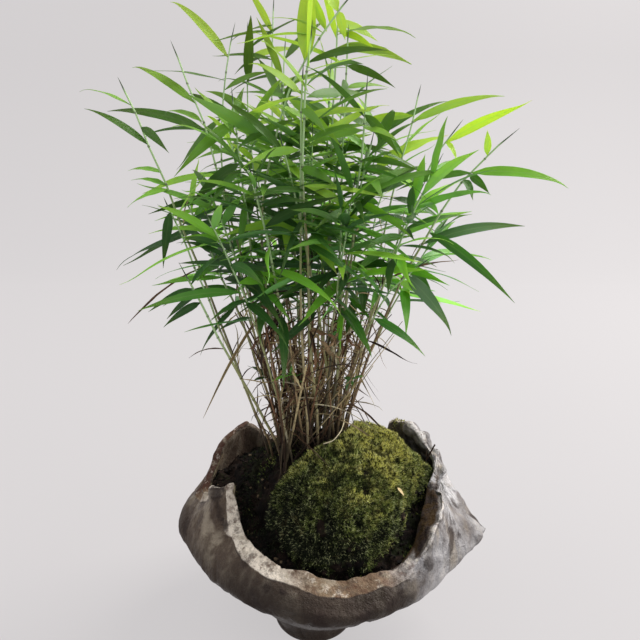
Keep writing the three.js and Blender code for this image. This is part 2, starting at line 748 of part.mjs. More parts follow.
// The first of the turned and shortened steps whose body, made by shape(step, margin), stays
// clear of the bodies in every other list. Its body joins the list of its owner.
function place(step, shape, lists, owner) {
  for (let i = 0; i < TURNS.length; i += 1) {
    const turned = step.clone().applyAxisAngle(new THREE.Vector3(0, 0, 1), TURNS[i] * DEGREE)
      .multiplyScalar(SHORTER ** i);
    const wide = shape(turned, LEAF_CLEAR);
    const box = wide.boundingBox();
    const clear = lists.every((list) => list === owner || list.every(
      (item) => !boxesMeet(box, item.box) || wide.intersect(item.solid).isEmpty(),
    ));
    if (clear) {
      const solid = shape(turned, 0);
      owner.push({ solid, box: solid.boundingBox() });
      return;
    }
  }
}

// Old tufts: a stub in the soil with a few dead stems on it, leaning out between the culms.
function addTufts(lists) {
  const tufts = [];
  for (let k = 0; tufts.length < TUFTS; k += 1) {
    const out = CLUMP_RADIUS * TUFT_SPREAD * Math.sqrt((k + 0.5) / TUFT_SPOTS);
    const x = CLUMP_X + out * Math.cos(k * GOLDEN_ANGLE * DEGREE);
    const y = CLUMP_Y + out * Math.sin(k * GOLDEN_ANGLE * DEGREE);
    const near = (list, least) => list.some(([a, b]) => Math.hypot(a - x, b - y) < least);
    const free = isBare(x, y) && !near(feet, TUFT_CLEAR) && !near(tufts, TUFT_SPACING);
    if (free) tufts.push([x, y]);
  }
  return tufts.map(([x, y]) => {
    const foot = new THREE.Vector3(x, y, soilHeight(x, y));
    const top = foot.clone().setZ(foot.z + STUB_HEIGHT);
    const stub = tube([foot.clone().setZ(foot.z - SUNK), foot, top], STUB_RADII);
    const list = [{ solid: stub, box: stub.boundingBox() }];
    lists.push(list);
    const heading = Math.atan2(y - CLUMP_Y, x - CLUMP_X);
    for (let i = 0; i < DEAD_STEMS; i += 1) {
      const turn = heading + stray(DEAD_TURN);
      const lean = between(...DEAD_LEAN);
      const length = between(...DEAD_LENGTH);
      const sway = new THREE.Vector3(stray(DEAD_SWAY), stray(DEAD_SWAY), 0.5);
      const step = new THREE.Vector3(Math.cos(turn) * lean, Math.sin(turn) * lean, 1)
        .multiplyScalar(length / Math.hypot(lean, 1));
      const root = polar(turn / DEGREE, STUB_RADII[2] / 2, -1).add(top);
      place(step, (way, margin) => {
        const tip = root.clone().add(way);
        const middle = root.clone().addScaledVector(way, 0.3).addScaledVector(sway, length * 0.4);
        const last = DEAD_RADII.length - 1;
        return tube(
          DEAD_RADII.map((_, j) => bend(root, middle, tip, j / last)),
          DEAD_RADII.map((radius) => radius + margin),
        );
      }, lists, list);
    }
    return { foot, list };
  });
}

// Every leaf of every culm, each where it stays clear of the other culms and tufts.
function growLeaves(lists) {
  culms.forEach((culm, k) => {
    culm.leaves.forEach(([t, step, tilt]) => {
      const from = onStem(culm, t);
      place(step, (way, margin) => blade(from, way, tilt, margin), lists, lists[k]);
    });
  });
}

const bowl = bowlSolid();
const bowlClear = bowlSolid(GAP);
const soilWhole = soilSolid(bowlClear);
const moss = mossSolid(bowlClear);
const whole = soilWhole.getMesh();
soilMesh.geometry.setAttribute('position', new THREE.BufferAttribute(whole.vertProperties, 3));
soilMesh.geometry.setIndex(new THREE.BufferAttribute(whole.triVerts, 1));

addListedCulms();
addRuleCulms();
const asItem = (solid) => ({ solid, box: solid.boundingBox() });
const lists = [...culms.map((c) => [asItem(c.stem)]), [asItem(moss)]];
const tufts = addTufts(lists);
growLeaves(lists);

const holes = wasm.Manifold.union([
  ...culms.map((c) => c.hole),
  ...tufts.map((t) => stemHole(t.foot, STUB_RADII[0])),
]);
const soil = soilWhole.subtract(holes);

addPiece('bowl', bowl, STONEWARE);
addPiece('soil', soil, EARTH);
addPiece('moss', moss, MOSS);
const joined = (list) => wasm.Manifold.union(list.map((item) => item.solid));
const numbered = (name, k) => `${name}_${String(k + 1).padStart(2, '0')}`;
culms.forEach((c, k) => addPiece(numbered('culm', k), joined(lists[k]), LEAF));
tufts.forEach((t, k) => addPiece(numbered('tuft', k), joined(t.list), STRAW));

export default model;
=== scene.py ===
"""Potted dwarf bamboo grass: a clump of thin leafy culms on a mossy mound in a torn stoneware bowl."""

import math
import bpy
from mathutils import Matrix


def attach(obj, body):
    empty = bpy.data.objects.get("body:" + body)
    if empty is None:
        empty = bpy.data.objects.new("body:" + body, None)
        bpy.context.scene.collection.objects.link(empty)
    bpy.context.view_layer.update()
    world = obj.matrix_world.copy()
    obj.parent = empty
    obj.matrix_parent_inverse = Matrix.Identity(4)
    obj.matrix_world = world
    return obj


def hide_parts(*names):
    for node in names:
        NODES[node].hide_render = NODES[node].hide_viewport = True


bl_info = {
    "name": "Potted dwarf bamboo grass",
    "version": (1, 0, 0),
    "blender": (4, 5, 0),
    "location": "View3D > Sidebar > Bamboo grass",
    "description": "A clump of dwarf bamboo grass on a mossy mound in a torn stoneware bowl",
    "category": "Add Mesh",
}

from types import SimpleNamespace

import bmesh
import bpy
import numpy as np
from mathutils import Color, Vector, noise
from mathutils.kdtree import KDTree

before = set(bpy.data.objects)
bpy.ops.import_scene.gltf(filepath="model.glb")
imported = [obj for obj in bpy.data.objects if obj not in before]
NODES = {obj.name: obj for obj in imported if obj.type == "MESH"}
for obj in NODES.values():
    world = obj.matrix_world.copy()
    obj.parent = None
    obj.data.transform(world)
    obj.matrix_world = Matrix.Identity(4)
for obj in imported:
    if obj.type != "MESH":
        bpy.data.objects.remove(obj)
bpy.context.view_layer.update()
CULMS = sorted(name for name in NODES if name.startswith("culm_"))
TUFTS = sorted(name for name in NODES if name.startswith("tuft_"))
MM = 0.001
UP = np.array((0.0, 0.0, 1.0))

# How the frame's stems and blades are made: three-sided stems of these radii, with rings at even
# shares of their length, and blades with two sections between foot and tip.
STEM_RADII = (1.1 * MM, 0.7 * MM)
STEM_SPANS = 5
STEM_SUNK = 10 * MM
BLADE_SECTIONS = (0.3, 0.68)
DEAD_SECTIONS = (1 / 3, 2 / 3)
DEAD_RADII = (0.75 * MM, 0.65 * MM, 0.54 * MM)
FIT = 0.03 * MM
LEAST_BLADE = 3 * MM
# The finished stems start this far below the soil's surface
ROOTED = 4 * MM

# A culm's joints: the first stands at this share of the way between two, with this much of such
# a way left over at the culm's ends, and JOINT_HALF is half a joint's height as a share of the
# culm. The rest of the rod above STEM_SHARE is a rolled leaf, and SPIKE gives its rings: how far
# along it, and the share of the culm's radius.
FIRST_JOINT = 0.7
JOINT_ENDS = 0.4
JOINT_HALF = 0.006
STEM_SHARE = 0.94
SPIKE = np.array(((0.35, 0.8), (0.7, 0.5), (1.0, 0.1)))
# The further a culm leans, the fewer young blades it has: three fifths of them at this lean
FAR_LEAN = 55 * MM
# Rings of a root stub and of a twig, and blades of a fresh shoot and of a curled clump
STUB_RINGS = 6
STUB_RADIUS = 1.7 * MM
TWIG_RINGS = 10
SHOOT_BLADES = 4
CURL_BLADES = 5
# A finished live blade is this share of the frame's width, a dead one DEAD_WIDTH of it, and one
# whose tone is over BROAD_TONE is BROAD times as wide as the rest
LIVE_WIDTH = (0.68, 0.92)
DEAD_WIDTH = 0.3
BROAD_TONE = 0.95
BROAD = 1.7
# Points on a culm's line among which the nearest to a blade of its own, or to a place, is found
BLADE_STEPS = 60
PLACE_STEPS = 80
# The places of a leafy culm's finishes in its list of materials
BLADE, CULM, STRAW = range(3)
# Edges that turn by more than this stay sharp on the small shapes
SHARP = math.radians(50)

# A blade's half width along its length, as a share of its widest
BLADE_OUTLINE = (
    (0.0, 0.08), (0.03, 0.12), (0.08, 0.46), (0.15, 0.8), (0.28, 1.0), (0.42, 0.97),
    (0.58, 0.8), (0.72, 0.55), (0.84, 0.29), (0.93, 0.12), (1.0, 0.02),
)
DRY_OUTLINE = ((0.0, 0.35), (0.2, 0.9), (0.45, 1.0), (0.75, 0.6), (1.0, 0.06))
# A blade's map counts this much more along its underside than along its face
UNDERSIDE = 2.0

CLUMP = np.array((5.0, 5.0)) * MM
MOUND_MIDDLE = np.array((20.0, 2.0, 70.0)) * MM
# Only the earth above OPEN_GROUND shows, stray moss grows above MOSS_FROM, and dead stems near
# the earth carry painted shade, strongest up to the third of these heights and gone from the fourth
OPEN_GROUND = 60 * MM
MOSS_FROM = 70 * MM
SHADE_DEEP_TO = 122 * MM
SHADE_GONE_FROM = 158 * MM
# Moss sprigs within SPRIG_TUFT of each other lean together, and all stand SPRIG_ROOT deep. Stray
# ones are no brighter than this share of the brightest.
SPRIG_TUFT = 5 * MM
SPRIG_ROOT = 0.5 * MM
STRAY_BRIGHTEST = 0.55
# The patch of moss on a lump of the rim: middle, reach and how deep it sits
KNOB_MOSS = np.array((59.0, 51.0, 111.0)) * MM
KNOB_MOSS_REACH = 5.5 * MM
KNOB_MOSS_SUNK = 0.8 * MM

# The bowl's foot keeps its even form up to this height
FOOT_HEIGHT = 4 * MM
# The hand-worked wall, in mm: how wide its swells are and how high they stand, the depth of its
# grooves, and the height of the dents that it has where it is silver
SWELLS = ((28, 1.6), (12, 0.8), (4, 0.3))
GROOVES = 0.9
DENTS = 1.6
SILVER_FROM = 30 * MM
# The bowl's sharp right corner, and the pinched place on the rim that its folds run from: where
# they start and end around it, and how high they stand, in mm
CORNER = np.array((110.0, 0.0, 65.0)) * MM
CORNER_REACH = 20 * MM
PINCH = np.array((80.0, 7.0, 94.0)) * MM
FOLD_START = 6 * MM
FOLD_REACH = 60 * MM
FOLDS = 3.0
# How much of the frame's edges is kept when the wall is rounded
WALL_CREASE = 0.15
RIM_CREASE = 0.5
CORNER_CREASE = 0.9
# The torn rim's lumps reach this far from its crest, and the lip's finish fades over LIP_FADE
TORN_REACH = 11 * MM
LIP_FADE = 2 * MM
# The numbers that each point of the bowl has for its finish
BOWL_MARKS = ("lip", "inner", "stain", "tone")
# The mound sinks in a gap along the rim at the back right: middle, reach and depth
GAP = np.array((67.0, 21.0, 110.0)) * MM
GAP_REACH = 24 * MM
GAP_DEPTH = 11 * MM
# By angle from the right towards the back, in degrees: how far the lip's broken face reaches
# from the rim's crest, in mm, its tone, from 0 for burnt red through 0.5 for tan to 1 for cream,
# and how far the outer wall's finish reaches inside the crest, in mm
LIP = (
    (0, 1.6, 0.7, 1), (14, 1.6, 0.8, 6), (25, 1.6, 0.9, 7), (48, 1.6, 0.8, 6), (60, 7, 0.3, 1),
    (120, 10, 0.05, 0), (166, 9, 0.0, 0), (173, 8, 0.5, 0), (181, 8, 0.9, 0), (194, 8, 0.95, 0),
    (215, 7.5, 1.0, 0), (240, 8, 1.0, 0), (255, 8, 0.9, 0), (268, 9, 0.6, 0), (285, 9, 0.4, 0),
    (300, 8, 0.3, 0), (312, 5, 0.4, 0), (320, 1.8, 0.7, 0), (345, 1.6, 0.85, 0), (360, 1.6, 0.7, 1),
)
# Stains and burns on the wall: middle and size, in mm, and 1 for dark or -1 for pale
STAINS = (
    ((-58, -14, 99), 8, 1), ((-55, -21, 90), 6, 1), ((-80, -4, 71), 9, 1), ((-37, -48, 78), 3.5, 1),
    ((-24, -62, 74), 3.5, 1), ((-16, -65, 75), 3, 1), ((79.5, -28, 82), 6, 1),
    ((79, -33, 77), 5.5, 1), ((86, -21.5, 76.5), 4.5, 1), ((63.5, -50.5, 79), 6, 1),
    ((104, 8, 67), 7, 1), ((86, -3, 85), 8, 0.8), ((75, 6.5, 93), 6, 0.8), ((42, -66, 67), 5, 1),
    ((28, -71, 65), 5, 1), ((46, -63, 71), 4, 1), ((4, -74, 62), 8, 1), ((-30, -62, 60), 14, 1),
    ((59, 51, 111), 5, 1), ((-67, 0, 91), 7, -1), ((-64, -18, 84), 8, -1),
    ((-58, -25, 77), 9, -0.7), ((94, -12, 82), 5, -1), ((64, 44, 106), 6, 1),
    ((70, 37, 104), 6.5, 1), ((75, 31, 100), 6.5, 1), ((78, 28, 95), 5, 1), ((71, -8, 92), 6, 0.7),
)
# Lumps on the rim, in mm: middle, size and height
KNOBS = (
    ((58, 52, 110), 8, 3.4), ((66, 45, 112), 8, 4.4), ((74, 36, 108), 8, 4.8),
    ((80, 27, 103), 7, 4.0), ((84, 17, 98), 5, 2.4), ((-68, 0, 89), 6, 2.0),
    ((-61, -8, 99), 8, 3.0),
)

# The tone of single blades, from 0 for dark to 1 for bright, by culm and number. Besides a blade's
# own tone, the dark ends paint the shade that falls on some blades and the bright ends the sheen
# and the light through others
TONES = {
    "culm_01": {0: 0.42, 1: 0.5, 2: 0.1, 3: 0.1, 4: 0.4, 5: 0.6},
    "culm_02": {0: 0.4, 1: 0.05, 3: 0.1, 4: 0.1},
    "culm_03": {1: 0.2, 2: 0.5, 3: 0.3},
    "culm_04": {0: 0.3, 1: 0.2},
    "culm_05": {1: 0.05},
    "culm_07": {0: 0.5, 3: 0.1, 11: 0.4},
    "culm_08": {0: 0.5, 2: 1.0},
    "culm_09": {1: 0.85, 2: 0.9, 3: 0.35, 4: 0.1},
    "culm_10": {0: 0.1, 2: 0.1, 3: 0.4, 4: 0.1},
    "culm_12": {0: 0.05, 2: 0.4},
    "culm_13": {2: 0.6},
    "culm_15": {0: 0.2, 1: 0.25, 2: 0.45, 3: 0.1, 4: 0.1},
    "culm_16": {0: 0.9, 2: 0.4, 3: 0.55},
    "culm_17": {1: 0.3, 3: 0.55},
    "culm_18": {1: 0.7, 2: 0.4},
    "culm_30": {0: 0.15},
}
# The culms that stand apart and have no blades but their own
OPEN_CULMS = ("culm_01", "culm_02", "culm_05", "culm_06", "culm_15", "culm_16", "culm_17", "culm_18")
# More single blades, in mm: the place on a culm that they spring from, tip, width and tone, whose
# dark and bright ends also paint shade and sheen
LONE_BLADES = (
    ((44, -22, 229), (67, -26, 219), 5.5, 0.85), ((48, -24, 233), (72, -35, 205), 7.5, 0.1),
    ((-73, -12, 264), (-77, -20, 236), 5.0, 0.1), ((-39, 56, 335), (-32, 20, 363), 6.0, 0.1),
    ((71, 5, 299), (75, -5, 289), 3.5, 0.95), ((41, 8, 229), (48, -18, 234), 4.5, 1.0),
    ((79, -6, 280), (82, -14, 270), 5.0, 0.1), ((-4, -16, 334), (0, -22, 372), 10.0, 0.6),
    ((12, -20, 355), (16, -14, 344), 5.0, 0.7), ((15, 20, 361), (34, 14, 349), 5.0, 0.7),
    ((7, 8, 345), (50, 0, 336), 7.0, 0.5), ((-42, 0, 290), (-63, -12, 267), 6.0, 0.05),
    ((12, -20, 355), (2, -23, 369), 6.5, 0.75), ((89, -8, 292), (87, -12, 304), 4.5, 0.75),
)
# Small fresh shoots low on the culms, in mm, and their tone
SHOOTS = (
    ((-30, 22, 161), 0.1), ((-13, -3, 171), 1.0), ((14, 7, 190), 0.6), ((21, -5, 168), 0.3),
    ((-14, 14, 160), 0.5), ((16, 18, 186), 0.2),
)
# Clumps of curled dead leaves, in mm
CURLS = ((-22, 1, 193), (-26, -4, 195), (-24, 23, 186), (-16, 3, 163), (-2, -6, 200), (18, -8, 196))
# Loose things on the mound and the rim, in mm: a line of places, its radius and its tone
TWIGS = (
    (((19, 6, 138), (17, -4, 136), (12, -10, 132), (6, -10, 130)), 0.38, 0.97),
    (((72, 25, 96), (74.5, 25, 100), (77, 25.5, 105), (79.5, 26, 110)), 0.6, 0.8),
    (((74.5, 25, 100), (74, 26, 104), (75, 27, 107)), 0.4, 0.8),
)
FALLEN_LEAF = ((48, -25, 110), (51, -24.5, 107), (53, -21, 102.5))

# The fine grain that every weathered finish shares: grains in a metre
GRAIN_SCALE = 1400.0

# The soft lights: name, place, target, size, power and colour
LIGHTS = (
    ("window", (1.35, 0.7, 1.7), (0.0, 0.0, 0.15), 1.2, 84.0, (1.0, 0.98, 0.95)),
    ("side", (1.6, -0.6, 0.7), (0.0, 0.0, 0.1), 0.8, 12.0, (0.97, 0.98, 1.0)),
    ("wall", (-1.4, 0.2, 2.4), (-0.9, 1.6, 0.9), 1.5, 26.0, (1.0, 0.99, 0.99)),
)
ROOM_COLOUR = (0.93, 0.95, 1.0, 1.0)
SENSOR_WIDTH = 36
# The backdrop, in metres: half its width, its floor's near edge and far edge, the radius of the
# bend there, and how far it goes on upwards
BACKDROP_HALF = 5.0
FLOOR_NEAR = -3.0
FLOOR_FAR = 1.0
BEND_RADIUS = 0.6
BACKDROP_RISE = 2.2
# The random draws of each operator, as a number that is added to the seed
DRAWS = {"moss": 0, "culms": 1, "tufts": 2, "soil": 3}


def srgb(code):
    """A colour as Blender holds it, from its usual code."""
    parts = [((code >> shift) & 255) / 255 for shift in (16, 8, 0)]
    return tuple(p / 12.92 if p <= 0.04045 else ((p + 0.055) / 1.055) ** 2.4 for p in parts)


def draws(scene, group):
    """The random draws of one operator."""
    return np.random.default_rng(scene.bamboo_grass.seed + DRAWS[group])


def steady_noise(scene):
    """Makes the vector noise the same in every run, where Blender would start it by the clock."""
    noise.seed_set(scene.bamboo_grass.seed)


# Reading the frame


def merged(name):
    """A bmesh of one of the frame's nodes, with its loose triangles joined."""
    bm = bmesh.new()
    bm.from_mesh(NODES[name].data)
    bmesh.ops.remove_doubles(bm, verts=bm.verts, dist=1e-6)
    return bm


def corners_of(name):
    """The points of a node, and the numbers of each point's neighbours."""
    bm = merged(name)
    bm.verts.index_update()
    points = np.array([v.co for v in bm.verts])
    near = [{e.other_vert(v).index for e in v.link_edges} for v in bm.verts]
    bm.free()
    return points, near


def rings_of(points, radius):
    """Every three points that lie as the corners of a stem's section of this radius."""
    apart = np.linalg.norm(points[:, None] - points[None], axis=2)
    fits = np.abs(apart - radius * math.sqrt(3)) < FIT
    found = []
    for i, row in enumerate(fits):
        after = [j for j in np.flatnonzero(row) if j > i]
        found += [(i, j, k) for j in after for k in after if k > j and fits[j, k]]
    return found


def unit(vectors):
    """Vectors, or one vector, at length 1."""
    return vectors / np.maximum(np.linalg.norm(vectors, axis=-1, keepdims=True), 1e-9)


def curve(start, pull, tip, t):
    """Points at shares t of the curve from start to tip that is drawn towards pull."""
    t = np.asarray(t, float)[:, None]
    return (1 - t) ** 2 * start + 2 * t * (1 - t) * pull + t * t * tip


def curve_heading(start, pull, tip, t):
    """The direction of that curve at shares t."""
    t = np.asarray(t, float)[:, None]
    return unit((1 - t) * (pull - start) + t * (tip - pull))


def curve_through(first, second, tip, shares):
    """The start and the pull of the curve that ends at tip and passes two points at these shares."""
    weights = [[(1 - t) ** 2, 2 * t * (1 - t)] for t in shares]
    values = [p - t * t * tip for t, p in zip(shares, (first, second))]
    return np.linalg.solve(weights, values)


def foot_of(points):
    """Where a stem of the frame comes out of the soil."""
    low = points[:, 2].min()
    return points[points[:, 2] < low + FIT].mean(axis=0) + STEM_SUNK * UP


def read_stem(points):
    """The foot, the pull and the tip of a culm's middle line."""
    foot = foot_of(points)
    weights = []
    values = []
    for k in range(1, STEM_SPANS + 1):
        t = k / STEM_SPANS
        rings = rings_of(points, STEM_RADII[0] + (STEM_RADII[1] - STEM_RADII[0]) * t)
        for ring in rings[:1]:
            weights.append((2 * t * (1 - t), t * t))
            values.append(points[list(ring)].mean(axis=0) - (1 - t) ** 2 * foot)
    pull, tip = np.linalg.lstsq(np.array(weights), np.array(values), rcond=None)[0]
    return foot, pull, tip


def section_of(points, ring):
    """The middle of a blade's section, its width, the side it points to and the way it faces."""
    a, b, c = (points[i] for i in ring)
    pairs = ((a, b, c), (b, c, a), (c, a, b))
    left, right, keel = max(pairs, key=lambda p: np.linalg.norm(p[0] - p[1]))
    middle = (left + right) / 2
    return middle, np.linalg.norm(left - right), unit(left - right), unit(middle - keel)


def read_blades(points, near):
    """Every blade of a culm: start, pull, tip, side and width."""
    blades = []
    for k, ring in enumerate(near):
        if len(ring) != 3:
            continue
        second, width, _, _ = section_of(points, ring)
        inner = set().union(*(near[i] for i in ring)) - ring - {k}
        if width < LEAST_BLADE or len(inner) != 3:
            continue
        first, width, side, face = section_of(points, inner)
        tip = points[k]
        start, pull = curve_through(first, second, tip, BLADE_SECTIONS)
        if np.dot(np.cross(side, tip - start), face) < 0:
            side = -side
        blades.append((start, pull, tip, side, width))
    return blades


def read_dead_stems(points, near):
    """Every dead stem of a tuft: start, pull and tip."""
    thick, middle, thin = (rings_of(points, radius) for radius in DEAD_RADII)

    def next_to(ring, others):
        around = set().union(*(near[i] for i in ring))
        return next((other for other in others if around & set(other)), None)

    stems = []
    for end in thin:
        second = next_to(end, middle)
        first = second and next_to(second, thick)
        if first:
            a, b, tip = (points[list(ring)].mean(axis=0) for ring in (first, second, end))
            start, pull = curve_through(a, b, tip, DEAD_SECTIONS)
            stems.append((start, pull, tip))
    return stems


# Small shapes, and their copies


class Shape:
    """A small closed mesh made by bmesh operators, kept as arrays so that it can be repeated."""

    def __init__(self, bm, mark_corner):
        bmesh.ops.recalc_face_normals(bm, faces=bm.faces)
        bm.verts.index_update()
        self.points = np.array([v.co for v in bm.verts])
        self.sizes = np.array([len(f.verts) for f in bm.faces])
        self.corners = np.array([v.index for f in bm.faces for v in f.verts])
        self.form = np.array([mark_corner(v.co) for f in bm.faces for v in f.verts])
        bm.free()


def blade_shape(across, along):
    """A thin plate: x from -1 to 1 across, y from 0 to 1 along, z from 0 above to -1 below."""
    bm = bmesh.new()
    bmesh.ops.create_grid(bm, x_segments=across, y_segments=along, size=1)
    bmesh.ops.translate(bm, verts=bm.verts, vec=(0, 1, 0))
    bmesh.ops.scale(bm, verts=bm.verts, vec=(1, 0.5, 1))
    bmesh.ops.solidify(bm, geom=bm.faces[:], thickness=1)
    lowest = min(v.co.z for v in bm.verts)
    bmesh.ops.translate(bm, verts=bm.verts, vec=(0, 0, -1 - lowest))
    return Shape(bm, lambda co: ((co.x + 1) / 2, co.y + (UNDERSIDE if co.z < -0.5 else 0)))


def rod_shape(sides, rings):
    """A closed rod of radius 1, z from 0 to 1 in even rings."""
    bm = bmesh.new()
    bmesh.ops.create_cone(
        bm, cap_ends=True, cap_tris=False, segments=sides, radius1=1, radius2=1, depth=1
    )
    upright = [e for e in bm.edges if abs(e.verts[0].co.z - e.verts[1].co.z) > 0.5]
    bmesh.ops.subdivide_edges(bm, edges=upright, cuts=rings - 2)
    bmesh.ops.translate(bm, verts=bm.verts, vec=(0, 0, 0.5))
    return Shape(bm, lambda co: (0.5, co.z))


def spike_shape(sides):
    """A closed pointed cone of radius 1, from z 0 to 1."""
    bm = bmesh.new()
    bmesh.ops.create_cone(
        bm, cap_ends=True, cap_tris=False, segments=sides, radius1=1, radius2=0, depth=1
    )
    bmesh.ops.remove_doubles(bm, verts=bm.verts, dist=1e-5)
    bmesh.ops.translate(bm, verts=bm.verts, vec=(0, 0, 0.5))
    return Shape(bm, lambda co: (0.5, co.z))


class Cluster:
    """Copies of small shapes that become one mesh. Each copy has two numbers of its own, which its
    material reads from the map "mark", and the map "form" holds the place on the shape."""

    def __init__(self):
        self.parts = []

    def add(self, shape, points, material, marks):
        """points: one array of the shape's points for each copy. marks: two numbers for each."""
        points = np.asarray(points, float).reshape(-1, len(shape.points), 3)
        marks = np.asarray(marks, float).reshape(-1, 2)
        self.parts.append((shape, points, material, marks))

    def piece(self, name, materials):
        """The one object that holds all the copies."""
        copies = [(s, len(p), m, marks) for s, p, m, marks in self.parts]
        points = np.concatenate([p.reshape(-1, 3) for _, p, _, _ in self.parts])
        corners = []
        start = 0
        for shape, count, _, _ in copies:
            firsts = start + np.arange(count) * len(shape.points)
            corners.append((shape.corners[None] + firsts[:, None]).ravel())
            start += count * len(shape.points)
        corners = np.concatenate(corners)
        sizes = np.concatenate([np.tile(s.sizes, n) for s, n, _, _ in copies])
        slots = np.concatenate([np.full(len(s.sizes) * n, m) for s, n, m, _ in copies])
        form = np.concatenate([np.tile(s.form, (n, 1)) for s, n, _, _ in copies])
        mark = np.concatenate([np.repeat(k, len(s.corners), axis=0) for s, _, _, k in copies])
        mesh = bpy.data.meshes.new(name)
        mesh.vertices.add(len(points))
        mesh.vertices.foreach_set("co", points.astype(np.float32).ravel())
        mesh.loops.add(len(corners))
        mesh.loops.foreach_set("vertex_index", corners.astype(np.int32))
        mesh.polygons.add(len(sizes))
        starts = np.concatenate([[0], np.cumsum(sizes)[:-1]])
        mesh.polygons.foreach_set("loop_start", starts.astype(np.int32))
        for material in materials:
            mesh.materials.append(material)
        mesh.polygons.foreach_set("material_index", slots.astype(np.int32))
        mesh.update(calc_edges=True)
        for title, values in (("form", form), ("mark", mark)):
            layer = mesh.uv_layers.new(name=title)
            layer.data.foreach_set("uv", values.astype(np.float32).ravel())
        mesh.shade_smooth()
        mesh.set_sharp_from_angle(angle=SHARP)
        return add_object(name, mesh)


def add_object(name, mesh):
    """A new object at the origin that holds the mesh."""
    made = bpy.data.objects.new(name, mesh)
    bpy.context.scene.collection.objects.link(made)
    return made


def lay_blade(shape, blade, form, outline):
    """The points of one blade: folded along its midrib, twisted a little, with a wavy edge."""
    start, pull, tip, side, width = blade
    x, t, h = shape.points.T
    length = np.linalg.norm(tip - start)
    middle = curve(start, pull, tip, t)
    ahead = curve_heading(start, pull, tip, t)
    side = unit(side - ahead * (ahead @ side)[:, None])
    face = np.cross(side, ahead)
    turn = (form["roll"] + form["twist"] * t**1.4)[:, None]
    side = side * np.cos(turn) + face * np.sin(turn)
    face = np.cross(side, ahead)
    half = width / 2 * np.interp(t, *zip(*outline))
    fold = form["fold"] * (1 - 0.35 * t)
    wave = form["wave"] * np.sin(2 * math.pi * (form["waves"] * t + form["phase"]) + x)
    lift = np.abs(x) * half * (np.sin(fold) + wave)
    thick = form["thick"] * (1 - 0.55 * np.abs(x)) * (1 - 0.5 * t)
    sag = form["curl"] * length * np.clip(t - 0.45, 0, 1) ** 2
    sag += form["hook"] * length * np.clip(t - 0.82, 0, 1) ** 2
    points = middle + side * (x * half * np.cos(fold))[:, None]
    points += face * (lift + (h + 0.5) * thick - sag)[:, None]
    return points


def lay_rod(shape, line, radii):
    """The points of a rod along a line, with a radius at each of its points."""
    rings = len(line)
    ring = np.rint(shape.points[:, 2] * (rings - 1)).astype(int)
    ahead = unit(np.gradient(line, axis=0))
    side = unit(np.cross((0.0, 1.0, 0.0), ahead))
    other = np.cross(ahead, side)
    x, y, _ = shape.points.T
    radius = radii[ring]
    return line[ring] + side[ring] * (x * radius)[:, None] + other[ring] * (y * radius)[:, None]


def lay_spikes(shape, roots, heads, radii):
    """The points of many spikes, from their roots to their heads."""
    ahead = heads - roots
    side = unit(np.cross(ahead, (0.3, 0.9, 0.2)))
    other = unit(np.cross(ahead, side))
    x, y, z = shape.points.T
    across = side[:, None] * x[None, :, None] + other[:, None] * y[None, :, None]
    return roots[:, None] + ahead[:, None] * z[None, :, None] + across * radii[:, None, None]


def scatter(mesh, count, rng, keep):
    """Points spread evenly over the part of a mesh that keep allows, with the way each faces."""
    mesh.calc_loop_triangles()
    places = np.empty(len(mesh.vertices) * 3)
    mesh.vertices.foreach_get("co", places)
    places = places.reshape(-1, 3)
    faces = np.empty(len(mesh.loop_triangles) * 3, np.int32)
    mesh.loop_triangles.foreach_get("vertices", faces)
    a, b, c = places[faces.reshape(-1, 3)].transpose(1, 0, 2)
    cross = np.cross(b - a, c - a)
    share = np.linalg.norm(cross, axis=1) * keep((a + b + c) / 3, unit(cross))
    picked = rng.choice(len(share), count, p=share / share.sum())
    u, v = rng.random((2, count, 1))
    u, v = np.where(u + v > 1, 1 - u, u), np.where(u + v > 1, 1 - v, v)
    points = a[picked] + u * (b - a)[picked] + v * (c - a)[picked]
    return points, unit(cross)[picked]


# Materials


